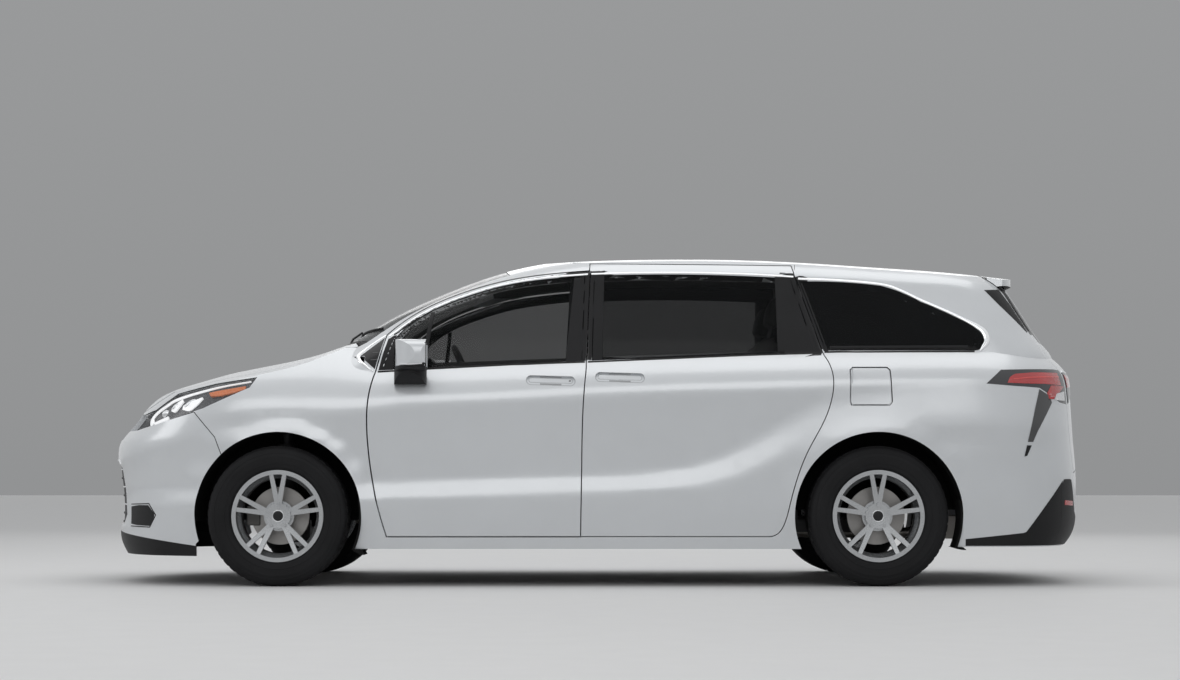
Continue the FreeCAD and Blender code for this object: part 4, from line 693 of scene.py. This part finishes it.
# Lamps
LAMP_LIGHTS = (
    ([(-2.128, 0.928), (-2.090, 0.946), (-2.022, 0.970)],
     [(-2.132, 0.906), (-2.094, 0.897), (-2.060, 0.918), (-2.018, 0.962)]),
    ([(-2.196, 0.918), (-2.168, 0.944), (-2.138, 0.962)],
     [(-2.198, 0.898), (-2.172, 0.896), (-2.130, 0.950)]),
    ([(-2.300, 0.842), (-2.215, 0.872)], [(-2.296, 0.830), (-2.208, 0.857)]),
)
DAY_LINE = [(-2.310, 0.830), (-2.318, 0.860), (-2.292, 0.892), (-2.230, 0.932), (-2.160, 0.966),
            (-1.950, 1.018), (-1.765, 1.050)]
LAMP_LENSES = ((-2.172, 0.926, 0.030), (-2.092, 0.938, 0.038), (-2.240, 0.890, 0.022))
for side_name, side in SIDES:
    ray = from_side(side)
    lamp = Skin("headlamps")
    patch("lamp_bezel_" + side_name,
          [(-2.330, 0.872), (-2.270, 0.902), (-2.160, 0.975), (-1.950, 1.024), (-1.750, 1.056)],
          [(-2.330, 0.815), (-2.250, 0.842), (-2.100, 0.886), (-2.000, 0.918), (-1.780, 1.020)], lamp, ray,
          lamp_dark, BODY, lift=-0.021, sink=0.023, rows=10)
    patch("turn_lamp_" + side_name, [(-1.985, 0.990), (-1.940, 0.999), (-1.860, 1.012), (-1.790, 1.023)],
          [(-1.975, 0.972), (-1.920, 0.975), (-1.850, 0.990), (-1.792, 1.007)], lamp, ray, amber, BODY,
          lift=-0.005, sink=0.018, rows=3)
    day = [(p - n * 0.010, n) for p, n in laid(smooth_line(DAY_LINE), lamp, ray)]
    sweep("day_lamp_" + side_name, day, bead(0.010, 0.004, 0.004), lit_lens, BODY,
          scale=lambda t: 2.6 * (1 - t) ** 1.6 + 0.7)
    for number, (upper, lower) in enumerate(LAMP_LIGHTS):
        patch("lamp_light_%d_%s" % (number, side_name), upper, lower, lamp, ray, lit_lens, BODY, lift=-0.010,
              sink=0.018, rows=4, rounded=number < 2)
    for number, (u, v, long) in enumerate(LAMP_LENSES):
        spot, normal = lamp.cast(*ray(u, v))
        orb("lamp_lens_%d_%s" % (number, side_name), spot - normal * 0.021, (long, 0.010, 0.020), reflector,
            BODY, ("Y", -0.62))
    tail = Skin("tail_lamps")
    patch("tail_bar_" + side_name,
          [(2.110, 1.042), (2.122, 1.066), (2.150, 1.082), (2.250, 1.091), (2.400, 1.094)],
          [(2.108, 1.036), (2.200, 1.033), (2.310, 1.033), (2.420, 1.030)], tail, ray, red_lens, BODY,
          lift=0.002, rows=5)
    patch("tail_light_guide_" + side_name, [(2.140, 1.058), (2.250, 1.069), (2.405, 1.077)],
          [(2.140, 1.053), (2.250, 1.062), (2.405, 1.069)], tail, ray, red_glow, BODY, lift=0.0035, rows=2)
    patch("tail_swoosh_" + side_name, [(2.350, 1.026), (2.400, 1.028), (2.440, 1.024)],
          [(2.310, 0.962), (2.332, 0.957), (2.362, 0.954)], tail, ray, red_lens, BODY, lift=0.002, rows=8)
    patch("reverse_lamp_" + side_name, [(2.385, 0.985), (2.440, 1.000)], [(2.365, 0.952), (2.440, 0.950)],
          tail, ray, white_lens, BODY, lift=0.0035, rows=4)
    # the grey blade under the lamp, on the body side and, past the bumper's seam, on the bumper
    patch("tail_blade_" + side_name, [(2.280, 1.004), (2.250, 0.900), (2.208, 0.7340)],
          [(2.333, 0.974), (2.351, 0.938), (2.310, 0.870), (2.262, 0.790), (2.236, 0.7340)],
          Skin("body_side_" + side_name), ray, blade_grey, BODY, lift=0.003, rows=8)
    patch("blade_tip_" + side_name, [(2.204, 0.7165), (2.190, 0.660)], [(2.228, 0.7165), (2.2035, 0.663)],
          Skin("rear_bumper"), ray, gloss_black, BODY, lift=0.003, rows=3)

    # the lamp's part on the tailgate
    gate = Skin("liftgate")
    end = from_end(1)
    patch("gate_lamp_housing_" + side_name,
          [(side * 0.684, 1.100), (side * 0.500, 1.098), (side * 0.330, 1.082)],
          [(side * 0.672, 0.940), (side * 0.560, 0.985), (side * 0.330, 1.040)], gate, end, lamp_dark,
          "liftgate", lift=0.003, rows=8)
    patch("gate_lamp_bar_" + side_name,
          [(side * 0.676, 1.088), (side * 0.500, 1.087), (side * 0.350, 1.074)],
          [(side * 0.670, 1.022), (side * 0.520, 1.030), (side * 0.350, 1.050)], gate, end, red_lens,
          "liftgate", lift=0.0048, rows=5)
    patch("gate_light_guide_" + side_name,
          [(side * 0.674, 1.074), (side * 0.500, 1.074), (side * 0.360, 1.066)],
          [(side * 0.674, 1.066), (side * 0.500, 1.067), (side * 0.360, 1.060)], gate, end, red_glow,
          "liftgate", lift=0.0062, rows=2)
    patch("rear_reflector_" + side_name, [(side * 0.790, 0.436), (side * 0.672, 0.430)],
          [(side * 0.790, 0.412), (side * 0.672, 0.406)], Skin("rear_bumper"), end, red_lens, BODY,
          lift=0.003, rows=3)
    # dark rear corners beside the tailgate's glass
    patch("rear_corner_body_" + side_name, [(2.040, 1.532), (2.116, 1.452), (2.206, 1.366), (2.262, 1.310)],
          [(2.130, 1.541), (2.186, 1.459), (2.233, 1.374), (2.266, 1.313)], Skin("body_side_" + side_name),
          ray, satin_black, BODY, rows=5)
    patch("rear_corner_gate_" + side_name,
          [(side * 0.574, 1.545), (side * 0.617, 1.440), (side * 0.648, 1.320)],
          [(side * 0.516, 1.550), (side * 0.585, 1.440), (side * 0.626, 1.320)], gate, end, satin_black,
          "liftgate", rows=4)
# the solids have the fuel flap's recess on both sides; a plate covers the one on the right, which has no flap
PLATE_X = (1.2980, 1.5225)
PLATE_Z = (0.9170, 1.1210)
patch("quarter_plate", [(x, PLATE_Z[1]) for x in PLATE_X], [(x, PLATE_Z[0]) for x in PLATE_X],
      Skin("body_side_right"), from_side(1), paint, BODY, lift=0.0004, sink=0.002, columns=2, rows=24)
gate = Skin("liftgate")
patch("gate_garnish", [(-0.330, 1.082), (0.330, 1.082)], [(-0.330, 1.040), (0.330, 1.040)], gate, from_end(1),
      gloss_black, "liftgate", lift=0.003, rows=4)
sweep("gate_bright_strip", laid(straight_line([(-0.660, 1.108), (0.660, 1.108)]), gate, from_end(1)),
      bead(0.012, 0.004), chrome, "liftgate")
patch("high_stop_lamp", [(-0.170, 1.612), (0.170, 1.612)], [(-0.170, 1.600), (0.170, 1.600)], Skin("spoiler"),
      from_end(1), red_lens, "liftgate", lift=0.002, rows=2)

# Bumpers' dark parts, grille strips
for side_name, side in SIDES:
    ray = from_side(side)
    bumper = Skin("rear_bumper")
    patch("corner_guard_" + side_name, [(1.885, 0.240), (2.197, 0.272), (2.300, 0.402), (2.412, 0.536)],
          [(1.885, 0.2055), (2.200, 0.2055), (2.300, 0.2055), (2.412, 0.2055)], bumper, ray, satin_black,
          BODY, rows=16)
    nose = Skin("front_bumper")
    patch("fog_recess_" + side_name, [(-2.425, 0.402), (-2.370, 0.410), (-2.310, 0.410), (-2.272, 0.366)],
          [(-2.425, 0.312), (-2.385, 0.306), (-2.296, 0.303), (-2.274, 0.352)], nose, ray, satin_black,
          BODY, rows=6)
    sweep("fog_frame_" + side_name, laid(straight_line([(-2.425, 0.300), (-2.300, 0.297), (-2.264, 0.360),
          (-2.306, 0.418), (-2.425, 0.414)]), nose, ray), bead(0.006, 0.003), gloss_black, BODY)
diffuser_half = [(0.822, 0.500), (0.800, 0.545), (0.710, 0.545), (0.610, 0.372), (0.500, 0.345), (0.0, 0.338)]
diffuser_top = [(-y, z) for y, z in diffuser_half] + diffuser_half[-2::-1]
patch("diffuser", diffuser_top, [(-0.800, 0.2055), (0.0, 0.2055), (0.800, 0.2055)], Skin("rear_bumper"),
      from_end(1), satin_black, BODY, lift=0.0016, columns=80, rows=10)
for level in (0.412, 0.504, 0.596):
    line = laid(straight_line([(-0.500, level), (0.500, level)]), Skin("grille"), from_end(-1))
    sweep("grille_strip_%d" % round(level * 1000), line, bead(0.007, 0.003), chrome, BODY)
GRILLE_BARS = {0.320: 0.49, 0.366: 0.53, 0.458: 0.52, 0.550: 0.50, 0.780: 0.44, 0.826: 0.44}
for level, reach in GRILLE_BARS.items():
    line = laid(straight_line([(-reach, level), (reach, level)]), Skin("grille"), from_end(-1))
    sweep("grille_bar_%d" % round(level * 1000), line, bead(0.014, 0.006), satin_black, BODY)
frame_line = [(-0.548, 0.372), (-0.512, 0.600), (-0.436, 0.645), (0.436, 0.645), (0.512, 0.600),
              (0.548, 0.372)]
sweep("grille_frame", laid(straight_line(frame_line), Skin("front_bumper", "grille"), from_end(-1)),
      bead(0.010, 0.005), chrome, BODY)

# Mirrors, handles and wipers
for side_name, side in SIDES:
    body = "front_door_" + side_name
    block("mirror_glass_" + side_name, (-0.8605, side * 1.032, 1.175), (0.003, 0.146, 0.116), mirror_silver,
          body, 0.0012)
    housing = Skin("mirror_" + side_name)
    line = laid(smooth_line([(-0.985, 1.128), (-0.940, 1.124), (-0.872, 1.128)]), housing, from_side(side))
    sweep("mirror_strip_" + side_name, line, bead(0.008, 0.002), white_lens, body)
    spot, normal = Skin(body).cast(*from_side(side)(-0.128, 1.0445))
    lathe("lock_" + side_name,
          [(0.0, side * 0.0012), (0.0052, side * 0.0010), (0.0062, 0.0), (0.0062, -side * 0.001)], spot,
          steel, body, 24, closed=False)


# Each handle's front, rear, lower and upper edge
HANDLES = {"front_door": (-0.340, -0.112, 1.031, 1.058), "sliding_door": (0.014, 0.242, 1.047, 1.074)}
DISH_REACH = 0.0115


def ring_line(place, grow):
    """A rounded outline round a door handle, tilted as the handle is."""
    x0, x1, z0, z1 = place
    reach, r = (x1 - x0) / 2 + grow, (z1 - z0) / 2 + grow
    line = []
    for k in range(49):
        turn = 2 * math.pi * k / 48 + 0.4
        u = (reach - r) * (1 if math.cos(turn) > 0 else -1) + r * math.cos(turn)
        line.append(Vector(((x0 + x1) / 2 + u, (z0 + z1) / 2 + r * math.sin(turn) + 0.0034 - 0.03 * u)))
    return line


for side_name, side in SIDES:
    ray = from_side(side)
    for panel, place in HANDLES.items():
        body = "front_door_" + side_name if panel == "front_door" else BODY
        skin = Skin("%s_%s" % (panel, side_name))
        # thin darker grey rings round the grip and round the dish: painted shade lines
        for kind, grow in (("grip", -0.002), ("dish", DISH_REACH)):
            sweep("%s_ring_%s_%s" % (kind, panel, side_name), laid(ring_line(place, grow), skin, ray),
                  bead(0.0026, 0.0004, 0.0006), painted_shade_grey, body)
        middle = (place[0] + place[1]) / 2
        # darker grey strips just above and below the grip: painted shade in the handle's recess
        over, under = (place[3] + 0.001, place[3] + 0.0065), (place[2] - 0.0095, place[2] - 0.002)
        for kind, (low, high) in (("upper", over), ("lower", under)):
            upper, lower = ([(middle - 0.055, z + 0.005), (middle + 0.055, z + 0.002)] for z in (high, low))
            patch("recess_%s_%s_%s" % (kind, panel, side_name), upper, lower, skin, ray, painted_shade_grey, body,
                  lift=0.0006, rows=3)
screen_skin = Skin("windshield", "cowl")
nose_ray = from_end(-1)
WIPERS = (((-0.060, 1.305), (-0.640, 1.330)), ((0.520, 1.300), (-0.010, 1.325)))
for number, (start, tip) in enumerate(WIPERS):
    points = laid(straight_line([start, tip]), screen_skin, nose_ray)
    raised = [(p + n * 0.006, n) for p, n in points]
    sweep("wiper_rubber_%d" % number, points, bead(0.006, 0.006), seal_rubber, BODY)
    sweep("wiper_frame_%d" % number, raised, bead(0.012, 0.006), satin_black, BODY)
    middle = raised[len(raised) // 2][0] + Vector((-0.010, 0, 0.006))
    pivot = screen_skin.cast(*nose_ray(start[0] + 0.05, 1.262))
    bend = pivot[0].lerp(middle, 0.5) + Vector((-0.012, 0, 0.012))
    rod("wiper_arm_%d" % number, [pivot[0] + Vector((-0.004, 0, 0.004)), bend, middle], 0.006, satin_black,
        BODY)
rear_screen = Skin("liftgate_glass", "liftgate")
points = laid(straight_line([(0.010, 1.245), (-0.330, 1.262)]), rear_screen, from_end(1))
sweep("rear_wiper", [(p + n * 0.004, n) for p, n in points], bead(0.014, 0.009, 0.004), satin_black,
      "liftgate")


# Seats
def smooth_between(value, low, high):
    t = max(0.0, min(1.0, (value - low) / (high - low)))
    return t * t * (3 - 2 * t)


def pad(name, curve, depth, half, middle, look, bolster, seams, channel=0.60, columns=33, rows=30):
    """A stuffed pad that follows a side curve, crowned to its edges, with bolsters and sewn channels."""
    line = resampled(curve, rows + 1, True)
    points, faces = [], []
    for face in (1, -1):
        for i, here in enumerate(line):
            u = i / rows
            along = (line[min(i + 1, rows)] - line[max(i - 1, 0)]).normalized()
            out = Vector((-along.y, along.x))
            for j in range(columns):
                v = 2 * j / (columns - 1) - 1
                edge = (max(0.0, 1 - abs(2 * u - 1) ** 7) * max(0.0, 1 - abs(v) ** 7)) ** 0.42
                high = depth / 2 * edge
                if face > 0:
                    wing = smooth_between(abs(v), channel - 0.02, 0.84) * edge
                    high += bolster * wing * (1 - 0.5 * abs(2 * u - 1))
                    high -= 0.006 * math.exp(-((abs(v) - channel) / 0.022) ** 2) * edge
                    if abs(v) < channel:
                        high -= 0.0045 * edge * sum(math.exp(-((u - s) / 0.013) ** 2) for s in seams)
                        high += 0.006 * (1 - (v / channel) ** 2) * edge
                spot = here - out * (depth / 2) + out * (high * face)
                points.append((spot.x, middle + half * v * (1 - 0.015 * (1 - edge)), spot.y))
    for face in (0, 1):
        shift = face * (rows + 1) * columns
        for i in range(rows):
            for j in range(columns - 1):
                a = shift + i * columns + j
                quad = [a, a + 1, a + columns + 1, a + columns]
                faces.append(quad if face else quad[::-1])
    piece = add_mesh(name, points, faces, look, BODY)
    return piece


def seat(name, x, y, z, width, places):
    """Cushion, back and headrests on a base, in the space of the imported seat."""
    half = width / 2
    made = [pad(name + "_cushion", [(x + 0.018, z - 0.062), (x + 0.070, z - 0.008), (x + 0.300, z - 0.022),
                                    (x + 0.500, z - 0.040)], 0.115, half - 0.004, y, leather, 0.020,
                (0.3, 0.55, 0.8)), pad(name + "_back", [(x + 0.425, z - 0.030), (x + 0.446, z + 0.110),
                                                        (x + 0.466, z + 0.260), (x + 0.515, z + 0.420),
                                                        (x + 0.566, z + 0.512)], 0.105, half - 0.014, y,
                                       leather, 0.022, (0.25, 0.5, 0.75))]
    for k in range(places):
        at = y - half + width * (k + 0.5) / places
        made.append(pad("%s_headrest_%d" % (name, k), [(x + 0.575, z + 0.560), (x + 0.594, z + 0.650),
                        (x + 0.628, z + 0.722)], 0.080, 0.124, at, leather, 0.004, (), 0.8, 21, 18))
        for shift in (-0.052, 0.052):
            rod("%s_headrest_rod_%d_%d" % (name, k, shift > 0), [(x + 0.590, at + shift, z + 0.460),
                (x + 0.606, at + shift, z + 0.520), (x + 0.628, at + shift, z + 0.590)], 0.006, steel, BODY)
    block(name + "_base", (x + 0.250, y, (0.4303 + z - 0.105) / 2),
          (0.370, width - 0.120, z - 0.105 - 0.4303), satin_black, BODY, 0.02)
    block(name + "_recliner", (x + 0.470, y, z - 0.075), (0.120, width - 0.02, 0.070), satin_black, BODY,
          0.02)
    return made


# Each seat's name, front edge, middle, width and places
SEAT_ROWS = {
    "front_seats": [("driver_seat", -0.640, -0.390, 0.520, 1), ("passenger_seat", -0.640, 0.390, 0.520, 1)],
    "middle_seats": [("middle_seat_left", 0.330, -0.400, 0.520, 1),
                     ("middle_seat_right", 0.330, 0.400, 0.520, 1)],
    "rear_bench": [("bench", 1.240, 0.0, 1.150, 2)],
}
for node_name, rows_of in SEAT_ROWS.items():
    for index, (name, x, y, width, places) in enumerate(rows_of):
        made = seat(name, x, y, 0.800, width, places)
        if index == 0:
            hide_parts(node_name)

# Dashboard fittings and steering wheel pad
block("display", (-0.872, 0.0, 1.120), (0.012, 0.250, 0.145), screen_black, BODY, 0.004, ("Y", -0.15))
for number, y in enumerate((-0.690, -0.170, 0.170, 0.690)):
    block("vent_%d" % number, (-0.846, y, 1.030), (0.014, 0.100, 0.046), satin_black, BODY, 0.006)
    for k in range(4):
        block("vent_slat_%d_%d" % (number, k), (-0.8385, y, 1.0135 + 0.011 * k), (0.004, 0.090, 0.0025),
              chrome, BODY, 0.001)
tilt = math.radians(65)
axis = Vector((math.sin(tilt), 0, math.cos(tilt)))
block("airbag_pad", Vector((-0.678, -0.380, 1.088)) + axis * 0.012, (0.105, 0.130, 0.018), wheel_leather,
      "steering_wheel", 0.008, ("Y", tilt))

# Camera, floor and light
FOCAL_PIXELS = 2251
HORIZON_DROP = 138
camera_data = bpy.data.cameras.new("camera")
camera_data.lens = 68.7
camera_data.sensor_width = 36
camera_data.clip_end = 200
camera = bpy.data.objects.new("camera", camera_data)
bpy.context.scene.collection.objects.link(camera)
camera.location = (-0.025, -12.45, 0.55)
camera.rotation_euler = (math.radians(90) + math.atan(HORIZON_DROP / FOCAL_PIXELS), 0, 0)
bpy.context.scene.camera = camera

bpy.ops.mesh.primitive_plane_add(size=120, location=(0, 0, 0))
floor = bpy.context.object
floor.name = "studio_floor"
floor_look = worked("studio_floor", (0.78, 0.78, 0.78), 0.01, 0.7, 0.05, 60, specular=0.2)
floor.data.materials.append(floor_look)


def softbox(name, place, aim, size, power):
    data = bpy.data.lights.new(name, "AREA")
    data.shape = "RECTANGLE"
    data.size, data.size_y = size
    data.energy = power
    lamp = bpy.data.objects.new(name, data)
    lamp.location = place
    lamp.rotation_euler = (Vector(aim) - Vector(place)).to_track_quat("-Z", "Y").to_euler()
    bpy.context.scene.collection.objects.link(lamp)


softbox("over", (0, 0, 7.0), (0, 0, 0), (9, 5), 135)
softbox("left_fill", (-1.0, -9.0, 5.0), (0, 0, 0.9), (10, 4), 135)
softbox("right_fill", (1.0, 9.0, 5.0), (0, 0, 0.9), (9, 3), 100)
softbox("nose_fill", (-9.0, -2.0, 4.0), (-1, 0, 0.9), (4, 3), 50)

world = bpy.data.worlds.new("studio")
bpy.context.scene.world = world
world.use_nodes = True
sky = world.node_tree
background = sky.nodes["Background"]
where = sky.nodes.new("ShaderNodeTexCoord")
split = sky.nodes.new("ShaderNodeSeparateXYZ")
span = sky.nodes.new("ShaderNodeMapRange")
span.inputs["From Min"].default_value = -0.1
span.inputs["From Max"].default_value = 0.9
ramp = sky.nodes.new("ShaderNodeValToRGB")
ramp.color_ramp.elements[0].color = (0.62, 0.63, 0.64, 1)
ramp.color_ramp.elements[1].color = (0.95, 0.96, 0.97, 1)
sky.links.new(where.outputs["Generated"], split.inputs["Vector"])
sky.links.new(split.outputs["Z"], span.inputs["Value"])
sky.links.new(span.outputs["Result"], ramp.inputs["Fac"])
sky.links.new(ramp.outputs["Color"], background.inputs["Color"])
background.inputs["Strength"].default_value = 0.52
paths = sky.nodes.new("ShaderNodeLightPath")
shown = background
for ray_kind, strength in (("Is Glossy Ray", 0.90), ("Is Transmission Ray", 0.90), ("Is Camera Ray", 0.44)):
    other = sky.nodes.new("ShaderNodeBackground")
    other.inputs["Strength"].default_value = strength
    sky.links.new(ramp.outputs["Color"], other.inputs["Color"])
    blend = sky.nodes.new("ShaderNodeMixShader")
    sky.links.new(paths.outputs[ray_kind], blend.inputs["Fac"])
    sky.links.new(shown.outputs[0], blend.inputs[1])
    sky.links.new(other.outputs["Background"], blend.inputs[2])
    shown = blend
sky.links.new(shown.outputs[0], sky.nodes["World Output"].inputs["Surface"])

scene = bpy.context.scene
scene.view_settings.view_transform = "Standard"
